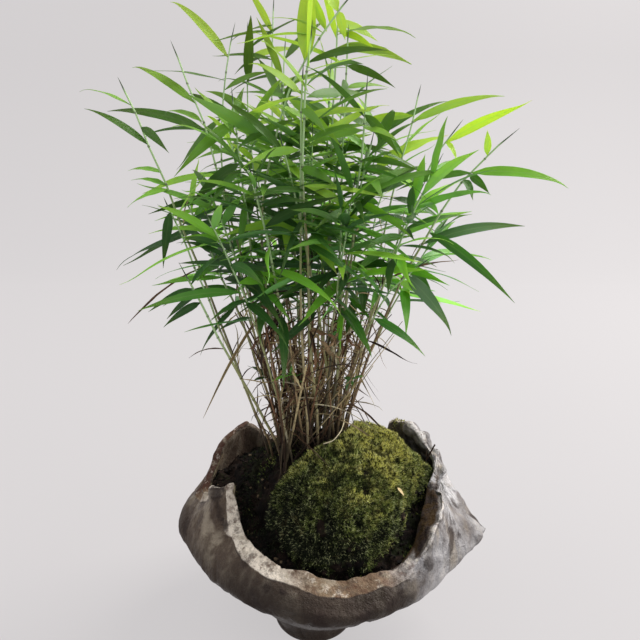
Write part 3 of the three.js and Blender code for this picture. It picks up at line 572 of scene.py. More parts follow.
class Graph:
    """A node tree, filled in few words for each node."""

    def __init__(self, tree):
        self.tree = tree

    def node(self, kind, inputs=(), **settings):
        """Adds a node. inputs gives each socket named a value, a colour or another's output."""
        made = self.tree.nodes.new("ShaderNode" + kind)
        for name, value in settings.items():
            setattr(made, name, value)
        for key, value in dict(inputs).items():
            if isinstance(value, bpy.types.NodeSocket):
                self.tree.links.new(value, made.inputs[key])
            elif isinstance(value, Color):
                made.inputs[key].default_value = (*value, 1.0)
            else:
                made.inputs[key].default_value = value
        return made

    def grouped(self, title, inputs):
        """A shared effect with values of its own."""
        return self.node("Group", inputs, node_tree=bpy.data.node_groups[title]).outputs

    def noise(self, vector, scale, detail=3.0, roughness=0.55, distortion=0.0):
        """A noise from 0 to 1 with features 1 / scale wide."""
        inputs = {
            "Vector": vector,
            "Scale": scale,
            "Detail": detail,
            "Roughness": roughness,
            "Distortion": distortion,
        }
        return self.node("TexNoise", inputs).outputs["Fac"]

    def band(self, value, low, high, start=0.0, end=1.0):
        """Rises smoothly from start to end as value goes from low to high."""
        inputs = {
            "Value": value,
            "From Min": low,
            "From Max": high,
            "To Min": start,
            "To Max": end,
        }
        return self.node("MapRange", inputs, interpolation_type="SMOOTHSTEP").outputs["Result"]

    def maths(self, operation, first, second=0.0):
        """One step of arithmetic."""
        return self.node("Math", {0: first, 1: second}, operation=operation).outputs[0]

    def plus(self, first, second):
        """The sum of two values."""
        return self.maths("ADD", first, second)

    def minus(self, first, second):
        """One value less another."""
        return self.maths("SUBTRACT", first, second)

    def times(self, first, second):
        """The product of two values."""
        return self.maths("MULTIPLY", first, second)

    def mix(self, share, first, second):
        """A share of the second colour mixed into the first."""
        inputs = {0: share, 6: first, 7: second}
        return self.node("Mix", inputs, data_type="RGBA").outputs[2]

    def shaded(self, colour, value):
        """A colour made darker or brighter."""
        return self.node("HueSaturation", {"Value": value, "Color": colour}).outputs[0]

    def stretched(self, vector, scale):
        """A vector with its three parts scaled."""
        return self.node("Mapping", {"Vector": vector, "Scale": scale}).outputs[0]

    def place(self):
        """The place on the object, in metres."""
        return self.node("TexCoord").outputs["Object"]

    def split(self, vector):
        """The three parts of a vector."""
        return self.node("SeparateXYZ", {0: vector}).outputs

    def map(self, title):
        """The two numbers of one of the piece's own maps."""
        return self.split(self.node("UVMap", uv_map=title).outputs[0])

    def bump(self, height, distance, strength=1.0, normal=None):
        """A normal that follows a height of so many metres."""
        inputs = {"Height": height, "Distance": distance, "Strength": strength}
        if normal is not None:
            inputs["Normal"] = normal
        return self.node("Bump", inputs).outputs[0]

    def surface(self, colour, roughness, specular=0.5, normal=None):
        """The main shader of a finish."""
        inputs = {"Base Color": colour, "Roughness": roughness, "Specular IOR Level": specular}
        if normal is not None:
            inputs["Normal"] = normal
        return self.node("BsdfPrincipled", inputs)

    def lit_through(self, shader, share, colour):
        """A shader that lets this share of the light through, in this colour."""
        through = self.node("BsdfTranslucent", {"Color": colour})
        return self.node("MixShader", {0: share, 1: shader.outputs[0], 2: through.outputs[0]})

    def finish(self, shader):
        """Makes a shader the material's surface."""
        self.node("OutputMaterial", {"Surface": shader.outputs[0]})


def new_group(title, inputs, outputs):
    """An empty shader group with named inputs and outputs, and its graph."""
    tree = bpy.data.node_groups.new(title, "ShaderNodeTree")
    for name, kind in inputs:
        tree.interface.new_socket(name, in_out="INPUT", socket_type="NodeSocket" + kind)
    for name in outputs:
        tree.interface.new_socket(name, in_out="OUTPUT", socket_type="NodeSocketFloat")
    source = tree.nodes.new("NodeGroupInput").outputs
    result = tree.nodes.new("NodeGroupOutput").inputs
    return Graph(tree), source, result


def weathering_group():
    """Blotches, small flecks and a fine grain, for fired clay, earth and anything dead."""
    graph, source, result = new_group(
        "Weathering",
        (("Vector", "Vector"), ("Blotch Scale", "Float"), ("Fleck Scale", "Float")),
        ("Blotch", "Fleck", "Grain"),
    )
    broad = graph.noise(source["Vector"], source["Blotch Scale"], 5.0, 0.6, 0.6)
    small = graph.noise(source["Vector"], source["Fleck Scale"], 2.0, 0.6)
    fine = graph.noise(source["Vector"], GRAIN_SCALE, 2.0, 0.7)
    links = graph.tree.links
    links.new(graph.band(broad, 0.42, 0.62), result["Blotch"])
    links.new(graph.band(small, 0.6, 0.72), result["Fleck"])
    links.new(graph.plus(graph.times(broad, 0.6), fine), result["Grain"])


def fibre_group():
    """Fine lines that run along a leaf or a stem, by the place across it."""
    graph, source, result = new_group(
        "Fibre", (("Across", "Float"), ("Lines", "Float")), ("Line",)
    )
    turns = graph.times(source["Across"], source["Lines"])
    wave = graph.maths("SINE", graph.times(turns, 2 * math.pi))
    graph.tree.links.new(graph.band(wave, -0.2, 1.0), result["Line"])


def new_material(title):
    """An empty material and its graph."""
    material = bpy.data.materials.new(title)
    material.use_nodes = True
    material.node_tree.nodes.clear()
    return material, Graph(material.node_tree)


def clay_masks(graph):
    """The places, noises and marks that the clay's colours and relief share."""
    at = SimpleNamespace(place=graph.place())
    at.x, at.y, at.z = graph.split(at.place)[0:3]
    at.weather = graph.grouped(
        "Weathering", {"Vector": at.place, "Blotch Scale": 42.0, "Fleck Scale": 330.0}
    )
    at.lip, at.inner, at.stain, at.tone = (
        graph.node("Attribute", attribute_name=title).outputs["Fac"] for title in BOWL_MARKS
    )
    at.wander = graph.noise(at.place, 26.0, 4.0, 0.6)
    at.centred = graph.minus(at.wander, 0.5)
    at.silver = graph.band(graph.plus(at.x, graph.times(at.centred, 0.09)), 0.03, 0.066)
    at.streaks = graph.noise(graph.stretched(at.place, (120.0, 120.0, 24.0)), 1.0, 4.0, 0.6)
    at.torn = graph.noise(at.place, 120.0, 5.0, 0.7)
    away = graph.node("VectorMath", {0: at.place, 1: PINCH}, operation="SUBTRACT").outputs[0]
    reach = graph.node("VectorMath", {0: away}, operation="LENGTH").outputs["Value"]
    right, _, rise = graph.split(away)[0:3]
    spread = graph.times(graph.maths("ARCTAN2", rise, right), 2.6)
    fan = graph.node("CombineXYZ", {0: spread, 1: graph.times(reach, 34.0)})
    at.folds = graph.noise(fan.outputs[0], 1.0, 3.0, 0.55)
    at.pinched = graph.times(graph.band(reach, 0.055, 0.01), at.silver)
    return at


def wall_colour(graph, look, at):
    """The outer wall: brown at the left, silver at the right with a painted sheen, painted light and
    shade on its folds, painted shade below.
    """
    colour = graph.mix(at.silver, look.clay, look.silver)
    colour = graph.mix(graph.band(at.streaks, 0.46, 0.7, 0.0, 0.7), colour, look.bloom)
    colour = graph.mix(graph.band(at.streaks, 0.48, 0.36, 0.0, 0.5), colour, look.shadow)
    colour = graph.mix(graph.times(at.weather["Blotch"], 0.45), colour, look.shadow)
    # A painted sheen: pale patches of the shine colour over the silver clay
    sheen_patches = graph.times(at.silver, graph.band(at.wander, 0.42, 0.6, 0.0, 0.5))
    colour = graph.mix(sheen_patches, colour, look.shine)
    # Painted highlights on the folds near the pinch, and painted shade in their creases
    pale = graph.times(graph.band(at.folds, 0.5, 0.62), at.pinched)
    colour = graph.mix(pale, colour, look.shine)
    deep = graph.times(graph.band(at.folds, 0.46, 0.36, 0.0, 0.8), at.pinched)
    colour = graph.mix(deep, colour, look.shadow)
    # Painted shade on the underside: darkest at the front, least at the silver right
    low = graph.plus(at.z, graph.times(at.centred, 0.03))
    low = graph.plus(low, graph.times(at.silver, 0.022))
    low = graph.minus(low, graph.band(at.y, -0.03, -0.07, 0.0, 0.014))
    return graph.mix(graph.band(low, 0.053, 0.08, 0.9, 0.0), colour, look.underside_shade)


def inside_colour(graph, look, at):
    """The wall above the soil: dark with painted shade at the right and the back, paler at the left.
    """
    darkened = graph.mix(graph.band(at.streaks, 0.42, 0.62), look.inside, look.stain)
    # Painted shade, darker towards the back
    darkened = graph.mix(graph.band(at.y, 0.012, 0.03, 0.0, 0.8), darkened, look.stain)
    # The paler wall at the left, out of that painted shade
    dry = graph.mix(graph.band(at.streaks, 0.4, 0.6), look.inside_left, look.lip_warm)
    return graph.mix(graph.band(at.x, 0.0, -0.03), darkened, dry)


def lip_colour(graph, look, at):
    """The lip's broken face, from burnt red through tan to cream, with blots, specks and a painted
    sheen at the right.
    """
    colour = graph.mix(graph.band(at.tone, 0.0, 0.5), look.lip_burnt, look.lip_warm)
    colour = graph.mix(graph.band(at.tone, 0.5, 1.0), colour, look.lip)
    # A painted sheen on the lip at the silver right
    colour = graph.mix(graph.times(at.silver, 0.85), colour, look.shine)
    colour = graph.mix(graph.band(at.torn, 0.5, 0.66, 0.0, 0.75), colour, look.shadow)
    colour = graph.mix(graph.band(at.wander, 0.5, 0.66, 0.0, 0.45), colour, look.lip_warm)
    blots = graph.noise(at.place, 210.0, 5.0, 0.7)
    colour = graph.mix(graph.band(blots, 0.53, 0.62, 0.0, 0.5), colour, look.rust)
    colour = graph.mix(graph.band(blots, 0.45, 0.38, 0.0, 0.4), colour, look.lip)
    pale = graph.noise(graph.stretched(at.place, (90.0, 90.0, 200.0)), 1.0, 4.0, 0.65)
    colour = graph.mix(graph.band(pale, 0.54, 0.66, 0.0, 0.6), colour, look.bloom)
    return graph.mix(graph.times(at.weather["Fleck"], 0.7), colour, look.rust)


def clay_relief(graph, at):
    """The clay's facets, dents, tears, folds and grain."""
    facets = graph.node("TexVoronoi", {"Vector": at.place, "Scale": 95.0}).outputs["Distance"]
    normal = graph.bump(facets, 4 * MM, graph.times(at.silver, 0.5))
    dents = graph.noise(at.place, 110.0, 5.0, 0.65)
    normal = graph.bump(dents, 3.5 * MM, 0.8, normal)
    normal = graph.bump(at.torn, 3 * MM, 0.7, normal)
    normal = graph.bump(at.folds, 6 * MM, graph.times(at.pinched, 0.8), normal)
    return graph.bump(at.weather["Grain"], 0.5 * MM, 0.6, normal)


def stoneware_material(look):
    """Rough fired clay with stains and burns, a torn lip, and painted sheen and shade."""
    material, graph = new_material("stoneware")
    at = clay_masks(graph)
    colour = graph.mix(at.inner, wall_colour(graph, look, at), inside_colour(graph, look, at))
    edge = graph.plus(at.lip, graph.band(at.torn, 0.3, 0.7, -0.22, 0.22))
    edge = graph.band(edge, 0.3, 0.7)
    colour = graph.mix(edge, colour, lip_colour(graph, look, at))
    border = graph.times(graph.band(at.lip, 0.02, 0.25), graph.band(at.lip, 0.75, 0.4))
    border = graph.times(border, graph.band(at.torn, 0.44, 0.58))
    colour = graph.mix(graph.times(border, 0.75), colour, look.stain)
    burn = graph.plus(at.stain, graph.band(at.torn, 0.3, 0.7, -0.35, 0.35))
    burnt = graph.band(burn, 0.2, 0.9)
    colour = graph.mix(graph.times(burnt, 0.75), colour, look.stain)
    colour = graph.mix(graph.band(burn, -0.3, -1.0, 0.0, 0.7), colour, look.bloom)
    colour = graph.shaded(colour, graph.band(at.weather["Grain"], 0.6, 1.1, 0.86, 1.14))
    matt = graph.maths("MAXIMUM", graph.maths("MAXIMUM", edge, at.inner), burnt)
    worn = graph.band(at.weather["Blotch"], 0.0, 1.0, look.roughness, look.roughness + 0.2)
    roughness = graph.plus(worn, graph.times(matt, 0.35))
    gloss = graph.band(graph.minus(at.silver, matt), 0.0, 1.0, 0.15, 0.5)
    graph.finish(graph.surface(colour, roughness, gloss, clay_relief(graph, at)))
    return material


def earth_material(look):
    """Dark damp potting earth with paler crumbs."""
    material, graph = new_material("earth")
    place = graph.place()
    weather = graph.grouped(
        "Weathering", {"Vector": place, "Blotch Scale": 110.0, "Fleck Scale": 700.0}
    )
    colour = graph.mix(weather["Blotch"], look.dark, look.brown)
    crumb = graph.band(weather["Blotch"], 0.2, 1.0, 0.05, 0.5)
    colour = graph.mix(graph.times(weather["Fleck"], crumb), colour, look.crumb)
    green = graph.band(graph.noise(place, 75.0, 4.0, 0.6), 0.52, 0.66, 0.0, 0.5)
    colour = graph.mix(green, colour, look.algae)
    crumbs = graph.noise(place, 520.0, 5.0, 0.7)
    normal = graph.bump(crumbs, 2.2 * MM)
    normal = graph.bump(weather["Grain"], 0.5 * MM, 0.7, normal)
    graph.finish(graph.surface(colour, 0.9, 0.12, normal))
    return material


def crumb_material(look):
    """Crumbs of earth, from black to a pale brown."""
    material, graph = new_material("earth crumbs")
    own = graph.map("mark")[0]
    colour = graph.mix(graph.band(own, 0.3, 0.9), look.dark, look.brown)
    colour = graph.mix(graph.band(own, 0.93, 0.98, 0.0, 0.8), colour, look.crumb)
    graph.finish(graph.surface(colour, 0.9, 0.15))
    return material


def moss_colour(graph, place, look, share, stray):
    """The moss's green at a place: painted light makes it yellow at the top and right, and painted
    shade makes it dark at the left and below. share goes from 0 at a sprig's root, in painted shade,
    to 1 at its tip, and stray is how far one sprig differs."""
    x, _, z = graph.split(place)[0:3]
    # Painted light at the top and the right, painted shade at the left and below
    high = graph.band(z, 0.09, 0.13, -0.15, 0.8)
    right = graph.band(x, 0.0, 0.065, -0.2, 0.5)
    patch = graph.noise(place, 85.0, 5.0, 0.65)
    sunny = graph.plus(graph.plus(high, right), stray)
    sunny = graph.plus(sunny, graph.band(patch, 0.34, 0.66, -0.45, 0.45))
    colour = graph.mix(graph.band(sunny, -0.2, 0.4), look.shade, look.green)
    colour = graph.mix(graph.band(sunny, 0.35, 1.05), colour, look.yellow)
    tan = graph.band(graph.noise(place, 150.0, 4.0, 0.6), 0.57, 0.7, 0.0, 0.5)
    colour = graph.mix(tan, colour, look.tan)
    return graph.mix(share, look.deep, colour)


def moss_material(look):
    """The dense felt that the sprigs stand in, mostly dark with painted shade."""
    material, graph = new_material("moss felt")
    place = graph.place()
    fur = graph.noise(place, 900.0, 3.0, 0.6)
    colour = moss_colour(graph, place, look, graph.band(fur, 0.35, 0.75, 0.0, 0.5), 0.0)
    graph.finish(graph.surface(colour, 0.95, 0.1, graph.bump(fur, 1.5 * MM, 0.9)))
    return material


def sprig_material(look):
    """Moss sprigs: painted shade at the root and in the hollows, bright at the tip, no two quite
    alike.
    """
    material, graph = new_material("moss sprigs")
    place = graph.place()
    along = graph.map("form")[1]
    own, deep = graph.map("mark")[0:2]
    stray = graph.band(own, 0.0, 1.0, -0.3, 0.3)
    # Painted shade at the sprig's root and where it stands in a hollow
    share = graph.times(graph.band(along, -0.2, 0.7), graph.band(deep, 0.0, 1.0, 0.2, 1.0))
    grain = graph.noise(place, 420.0, 3.0, 0.7)
    share = graph.times(share, graph.band(grain, 0.38, 0.57, 0.12, 1.3))
    colour = moss_colour(graph, place, look, share, stray)
    bright = graph.times(graph.band(own, 0.72, 1.0, 0.0, 0.75), share)
    colour = graph.mix(bright, colour, look.bright)
    colour = graph.mix(graph.band(own, 0.34, 0.0, 0.0, 0.85), colour, look.deep)
    graph.finish(graph.lit_through(graph.surface(colour, 0.7, 0.2), 0.25, colour))
    return material


def dry_colour(graph, place, own, look):
    """Straw that fades from pale tan to reddish brown and grey."""
    wear = graph.noise(place, 160.0, 4.0, 0.6)
    colour = graph.mix(graph.band(own, 0.1, 0.5), look.tan, look.rust)
    colour = graph.mix(graph.band(own, 0.5, 0.75), colour, look.brown)
    colour = graph.mix(graph.band(wear, 0.45, 0.7, 0.0, 0.55), colour, look.brown)
    return graph.mix(graph.band(own, 0.86, 0.95), colour, look.pale)


def blade_masks(graph):
    """Where a point lies on its blade and in the clump, and the blade's own numbers."""
    at = SimpleNamespace(place=graph.place())
    at.x, _, z = graph.split(at.place)[0:3]
    across, along = graph.map("form")[0:2]
    at.own, at.dead = graph.map("mark")[0:2]
    at.under = graph.band(along, UNDERSIDE - 0.6, UNDERSIDE - 0.4)
    at.share = graph.minus(along, graph.times(at.under, UNDERSIDE))
    at.veins = graph.grouped("Fibre", {"Across": across, "Lines": 13.0})["Line"]
    at.rib = graph.band(graph.maths("ABSOLUTE", graph.minus(across, 0.5)), 0.06, 0.0)
    at.high = graph.plus(z, graph.band(at.own, 0.1, 1.0, -0.05, 0.07))
    # A blade's brightness: its tone, and painted light towards the right
    value = graph.band(at.own, 0.0, 0.8, 0.58, 1.7)
    at.value = graph.plus(value, graph.band(at.x, 0.03, 0.09, 0.0, 0.2))
    return at


def fresh_colour(graph, look, dry, at):
    """A live blade's face: blue green with painted shade low in the clump, yellow green with some
    painted light at its top.
    """
    colour = graph.mix(graph.band(at.high, 0.19, 0.26), look.low, look.middle)
    colour = graph.mix(graph.band(at.high, 0.27, 0.38), colour, look.top)
    # Clouds of the shaded low colour: painted dappled shade
    cloud = graph.noise(at.place, 70.0, 3.0, 0.6)
    colour = graph.mix(graph.band(cloud, 0.42, 0.72, 0.0, 0.35), colour, look.low)
    colour = graph.mix(graph.times(graph.band(at.share, 0.5, 1.0), 0.35), colour, look.top)
    colour = graph.mix(graph.times(at.veins, 0.28), colour, look.vein)
    colour = graph.mix(graph.times(at.rib, 0.55), colour, look.vein)
    colour = graph.mix(graph.times(at.under, 0.5), colour, look.under)
    burnt = graph.times(graph.band(at.share, 0.88, 1.0), graph.band(at.own, 0.6, 0.9))
    return graph.shaded(graph.mix(burnt, colour, dry.tan), at.value)


def glow_colour(graph, look, at):
    """The light that passes a live blade, dimmer along its veins."""
    colour = graph.mix(graph.band(at.high, 0.2, 0.35), look.glow, look.glow_top)
    colour = graph.mix(graph.times(at.veins, 0.25), colour, look.middle)
    colour = graph.mix(graph.times(at.rib, 0.5), colour, look.middle)
    return graph.shaded(colour, at.value)


def blade_material(look, dry):
    """Leaf blades with veins and a rib, green or dead."""
    material, graph = new_material("blades")
    at = blade_masks(graph)
    straw = dry_colour(graph, at.place, at.own, dry)
    colour = graph.mix(at.dead, fresh_colour(graph, look, dry, at), straw)
    roughness = graph.band(at.dead, 0.0, 1.0, look.roughness, 0.8)
    gloss = graph.surface(colour, roughness, 0.5, graph.bump(at.veins, 0.15 * MM, 0.6))
    glow = graph.mix(at.dead, glow_colour(graph, look, at), straw)
    graph.finish(graph.lit_through(gloss, look.translucency, glow))
    return material


def culm_material(look, dry):
    """Culms: tan and brown near the soil, green above, a dark line at each joint, and painted shade on
    the rolled leaf at the top.
    """
    material, graph = new_material("culms")
    place = graph.place()
    along = graph.map("form")[1]
    own, age = graph.map("mark")[0:2]
    stray = graph.noise(graph.stretched(place, (500.0, 500.0, 60.0)), 1.0, 3.0, 0.6)
    height = graph.plus(along, graph.band(stray, 0.3, 0.7, -0.1, 0.1))
    height = graph.minus(height, graph.band(age, 0.2, 1.0, 0.0, 0.3))
    straw = dry_colour(graph, place, own, dry)
    colour = graph.mix(graph.band(height, 0.04, 0.26, 0.15, 1.0), straw, look.stem)
    colour = graph.mix(graph.band(along, 0.45, 0.7), colour, look.stem_top)
    # Painted shade on the rolled leaf at the top, which is lit from behind
    spike = graph.band(along, STEM_SHARE - 0.01, STEM_SHARE + 0.02)
    colour = graph.mix(spike, colour, look.spike_tip)
    fibres = graph.noise(graph.stretched(place, (2600.0, 2600.0, 90.0)), 1.0, 2.0, 0.6)
    worn = graph.times(graph.band(fibres, 0.5, 0.75), graph.band(along, 0.3, 0.6, 0.5, 0.12))
    worn = graph.maths("MAXIMUM", worn, graph.band(along, 0.12, 0.0, 0.0, 0.85))
    colour = graph.mix(worn, colour, dry.brown)
    turns = graph.times(along, (look.joints + JOINT_ENDS) / STEM_SHARE)
    turns = graph.plus(turns, 0.5 - FIRST_JOINT)
    near = graph.maths("ABSOLUTE", graph.minus(graph.maths("FRACT", turns), 0.5))
    colour = graph.mix(graph.band(near, 0.05, 0.0, 0.0, 0.7), colour, dry.brown)
    graph.finish(graph.surface(colour, 0.45, normal=graph.bump(fibres, 0.1 * MM, 0.5)))
    return material


def straw_material(look):
    """Dead stems, sheaths and scraps of leaf, with painted shade near the earth."""
    material, graph = new_material("straw")
    place = graph.place()
    own, rooted = graph.map("mark")[0:2]
    colour = dry_colour(graph, place, own, look)
    fibres = graph.noise(graph.stretched(place, (1800.0, 1800.0, 120.0)), 1.0, 2.0, 0.6)
    colour = graph.mix(graph.band(fibres, 0.5, 0.75, 0.0, 0.5), colour, look.brown)
    # Painted shade on the rooted dead pieces near the earth
    darkened = graph.band(graph.split(place)[2], SHADE_GONE_FROM, SHADE_DEEP_TO, 0.0, 0.9)
    colour = graph.mix(graph.times(darkened, rooted), colour, look.darkened)
    graph.finish(graph.surface(colour, 0.75, 0.2, graph.bump(fibres, 0.15 * MM, 0.6)))
    return material


def backdrop_material(look):
    """The even finish of the floor and the backdrop, which gives most of its light itself."""
    material, graph = new_material("backdrop paper")
    shader = graph.node(
        "BsdfPrincipled",
        {
            "Base Color": look.floor,
            "Roughness": 0.9,
            "Emission Color": look.glow,
            "Emission Strength": look.glow_strength,
        },
    )
    graph.finish(shader)
    return material


# The pieces


def applied(made):
    """The object with its modifiers worked into its mesh."""
    shown = made.evaluated_get(bpy.context.evaluated_depsgraph_get())
    mesh = bpy.data.meshes.new_from_object(shown)
    made.modifiers.clear()
    made.data = mesh
    return made


def rough(point, size):
    """A noise from -1 to 1 with features of this size in metres."""
    return noise.noise(Vector(point) / size)


def ripple_mesh(mesh, height):
    """Moves each vertex along its normal by height(place, normal), in metres."""
    for vertex, normal in zip(mesh.vertices, [n.vector.copy() for n in mesh.vertex_normals]):
        vertex.co += normal * height(vertex.co, normal)
    mesh.update()


def dress(made, material):
    """Gives an object one finish and smooth shading."""
    made.data.materials.clear()
    made.data.materials.append(material)
    made.data.shade_smooth()


def keep_finish(made, slot, *nodes):
    """Says what a finished piece moves with and stands for; slot, the finish it would take, is not
    used.
    """
    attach(made, "root")
    if nodes:
        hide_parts(*nodes)


def rim_crest(points, turns, reach):
    """The rim's highest point in each direction, of those within reach of it, in radians."""
    angles = np.arctan2(points[:, 1], points[:, 0])
    crest = []
    for turn in np.linspace(-math.pi, math.pi, turns, endpoint=False):
        away = np.abs((angles - turn + math.pi) % (2 * math.pi) - math.pi)
        crest.append(points[np.argmax(np.where(away < reach, points[:, 2], 0))])
    return np.array(crest)


def from_crest(points, crest):
    """How far each point lies from the crest, and how far inside it."""
    tree = KDTree(len(crest))
    for number, top in enumerate(crest):
        tree.insert(top, number)
    tree.balance()
    found = [tree.find(point) for point in points]
    away = np.array([distance for _, _, distance in found])
    tops = crest[[number for _, number, _ in found]]
    inside = np.linalg.norm(tops[:, :2], axis=1) - np.linalg.norm(points[:, :2], axis=1)
    return away, inside


def bowl_swell(point, normal):
    """How far the hand-worked wall stands proud of its even form."""
    if point.z < FOOT_HEIGHT:
        return 0.0
    swell = sum(height * rough(point, size * MM) for size, height in SWELLS)
    if point.x > SILVER_FROM:
        swell += DENTS * (0.3 - abs(rough(point, 17 * MM)))
    swell -= GROOVES * max(0.0, 1 - abs(rough(point, 19 * MM)) / 0.12)
    away = point - Vector(PINCH)
    reach = away.length
    outside = normal.x * point.x + normal.y * point.y > 0
    if outside and reach < FOLD_REACH:
        turn = math.atan2(away.z, away.y)
        fade = min(1.0, reach / FOLD_START) * (1 - reach / FOLD_REACH)
        swell += FOLDS * fade * (0.6 - abs(math.sin(3.4 * turn + 1.5 * rough(point, 30 * MM))))
    for middle, size, height in KNOBS:
        near = (point / MM - Vector(middle)).length / size
        swell += height * max(0.0, 1 - near * near) ** 2
    return swell * MM


def sharpen_corner(mesh):
    """Draws the wall out to its sharp right corner."""
    corner = Vector(CORNER)
    nearest = min((v.co for v in mesh.vertices), key=lambda place: (place - corner).length)
    pull = corner - nearest
    middle = nearest.copy()
    for vertex in mesh.vertices:
        near = max(0.0, 1 - (vertex.co - middle).length / CORNER_REACH)
        vertex.co += pull * near**1.6
        aside = abs(vertex.co.z - CORNER[2]) + 0.6 * abs(vertex.co.y - CORNER[1])
        vertex.co.x -= 0.9 * near * aside


def tear_rim(mesh, away, height):
    """Gives the rim the small lumps and hollows of torn clay."""
    for vertex, distance in zip(mesh.vertices, away):
        near = max(0.0, 1 - distance / TORN_REACH)
        if near:
            lump = noise.noise_vector(vertex.co / (11 * MM))
            lump += 0.35 * noise.noise_vector(vertex.co / (4 * MM))
            vertex.co += lump * height * near


def crease_edges(bm):
    """Keeps the torn rim crisp and the right corner sharp when the wall is smoothed."""
    points = np.array([v.co for v in bm.verts])
    away, _ = from_crest(points, rim_crest(points, turns=72, reach=0.12))
    crease = bm.edges.layers.float.new("crease_edge")
    for edge in bm.edges:
        edge[crease] = WALL_CREASE
        if max(away[v.index] for v in edge.verts) < 5 * MM:
            edge[crease] = RIM_CREASE
        if min((v.co - Vector(CORNER)).length for v in edge.verts) < 10 * MM:
            edge[crease] = CORNER_CREASE


def smooth_wall(look):
    """The frame's wall with its faces divided and rounded."""
    bm = merged("bowl")
    bmesh.ops.join_triangles(
        bm,
        faces=bm.faces,
        angle_face_threshold=math.radians(50),
        angle_shape_threshold=math.radians(60),
    )
    bm.verts.index_update()
    crease_edges(bm)
    mesh = bpy.data.meshes.new("stoneware_bowl")
    bm.to_mesh(mesh)
    bm.free()
    made = add_object("stoneware_bowl", mesh)
    subdivision = made.modifiers.new("smooth", "SUBSURF")
    subdivision.levels = subdivision.render_levels = look.levels
    return applied(made)


def lip_and_inner(mesh, away, inside, lip_share):
    """How far each point belongs to the lip's broken face and to the inner wall, and its tone."""
    points = np.array([v.co for v in mesh.vertices])
    normals = np.array([n.vector for n in mesh.vertex_normals])
    outward = (normals[:, :2] * unit(points[:, :2])).sum(axis=1)
    around, *rows = np.array(LIP).T
    degrees = np.degrees(np.arctan2(points[:, 1], points[:, 0])) % 360
    depth, tone, over = (np.interp(degrees, around, row) for row in rows)
    facing = np.maximum(2.4 * normals[:, 2] - 0.7, 1.6 - 2.4 * np.abs(outward))
    lip = np.clip((depth * lip_share * MM - away) / LIP_FADE + 0.5, 0, 1) * np.clip(facing, 0, 1)
    inner = np.clip((inside - 1.5 * MM) / LIP_FADE, 0, 1) * (points[:, 2] > 20 * MM)
    inner *= np.maximum(normals[:, 2] > 0.2, outward < 0)
    inner *= np.clip((away / MM - over) / 2 + 0.5, 0, 1)
    return np.minimum(lip, 1 - inner), inner, tone


def stains_on(mesh):
    """How dark each point is stained, or below 0, how far it is bleached."""
    points = np.array([v.co for v in mesh.vertices])
    stain = np.zeros(len(points))
    for middle, size, tone in STAINS:
        near = np.linalg.norm(points / MM - middle, axis=1) / size
        stain += tone * np.clip(1.2 - near, 0, 1)
    return stain


def make_bowl(look):
    """The bowl: the frame's wall made smooth, with the hand's dents, folds and a torn rim."""
    made = smooth_wall(look)
    mesh = made.data
    sharpen_corner(mesh)
    points = np.array([v.co for v in mesh.vertices])
    away, inside = from_crest(points, rim_crest(points, turns=720, reach=0.02))
    lip, inner, tone = lip_and_inner(mesh, away, inside, look.lip_share)
    ripple_mesh(mesh, bowl_swell)
    tear_rim(mesh, away, look.torn)
    for title, values in zip(BOWL_MARKS, (lip, inner, stains_on(mesh), tone)):
        attribute = mesh.attributes.new(title, "FLOAT", "POINT")
        attribute.data.foreach_set("value", values.astype(np.float32))
    dress(made, stoneware_material(look))
    keep_finish(made, "stoneware", "bowl")


def remeshed(name, title, voxel):
    """A copy of a node in small even faces."""
    bm = merged(name)
    mesh = bpy.data.meshes.new(title)
    bm.to_mesh(mesh)
    bm.free()
    made = add_object(title, mesh)
    grid = made.modifiers.new("even faces", "REMESH")
    grid.mode = "VOXEL"
    grid.voxel_size = voxel
    return applied(made)


def sink(mesh):
    """Lowers the mound where a dark gap parts it from the rim."""
    middle = Vector(GAP)
    for vertex in mesh.vertices:
        near = max(0.0, 1 - (vertex.co - middle).length / GAP_REACH)
        vertex.co.z -= GAP_DEPTH * near


def make_soil(look):
    """The earth in the bowl, with clods and hollows."""
    made = remeshed("soil", "earth_fill", look.face)

    def clods(point, normal):
        if point.z < OPEN_GROUND or normal.z < -0.2:
            return 0.0
        lumps = abs(rough(point, 12 * MM)) - 0.25 + 0.6 * abs(rough(point, 5.5 * MM)) - 0.14
        return look.clods * lumps + 1.1 * MM * rough(point, 3 * MM)

    ripple_mesh(made.data, clods)
    sink(made.data)
    dress(made, earth_material(look))
    keep_finish(made, "earth", "soil")
    return made


def moss_cover(middles, normals):
    """1 where a face of the moss looks out of the mound, and 0 elsewhere."""
    out = unit(middles - MOUND_MIDDLE)
    return ((normals * out).sum(axis=1) > 0.15).astype(float)


def hollow(point):
    """How deep a place lies in the moss's hollows and crevices, from 0 to 1."""
    seam = max(0.0, 1 - abs(rough(point, 24 * MM)) / 0.11) * (0.4 + rough(point, 50 * MM))
    pit = max(0.0, -rough(point, 12 * MM) - 0.28) * 4
    return min(1.0, max(0.0, seam) + pit)


def make_moss(look, rng, sprigs):
    """The moss: a lumpy cushion, and thousands of small sprigs in tufts that stand out of it."""
    cushion = remeshed("moss", "moss_cushion", look.face)

    def lumps(point, normal):
        out = Vector(unit(np.array(point) - MOUND_MIDDLE))
        if normal.dot(out) < 0:
            return 0.0
        swell = rough(point, 14 * MM) + 0.5 * rough(point, 6 * MM)
        return look.lumps * (swell - 1.3 * hollow(point)) - 0.7 * look.sprig_length

    ripple_mesh(cushion.data, lumps)
    sink(cushion.data)
    dress(cushion, moss_material(look))
    keep_finish(cushion, "moss", "moss")
    for name in ("moss_sprigs_low", "moss_sprigs_high"):
        points, normals = scatter(cushion.data, look.sprigs, rng, moss_cover)
        stand_sprigs(name, points, normals, look, rng, sprigs)


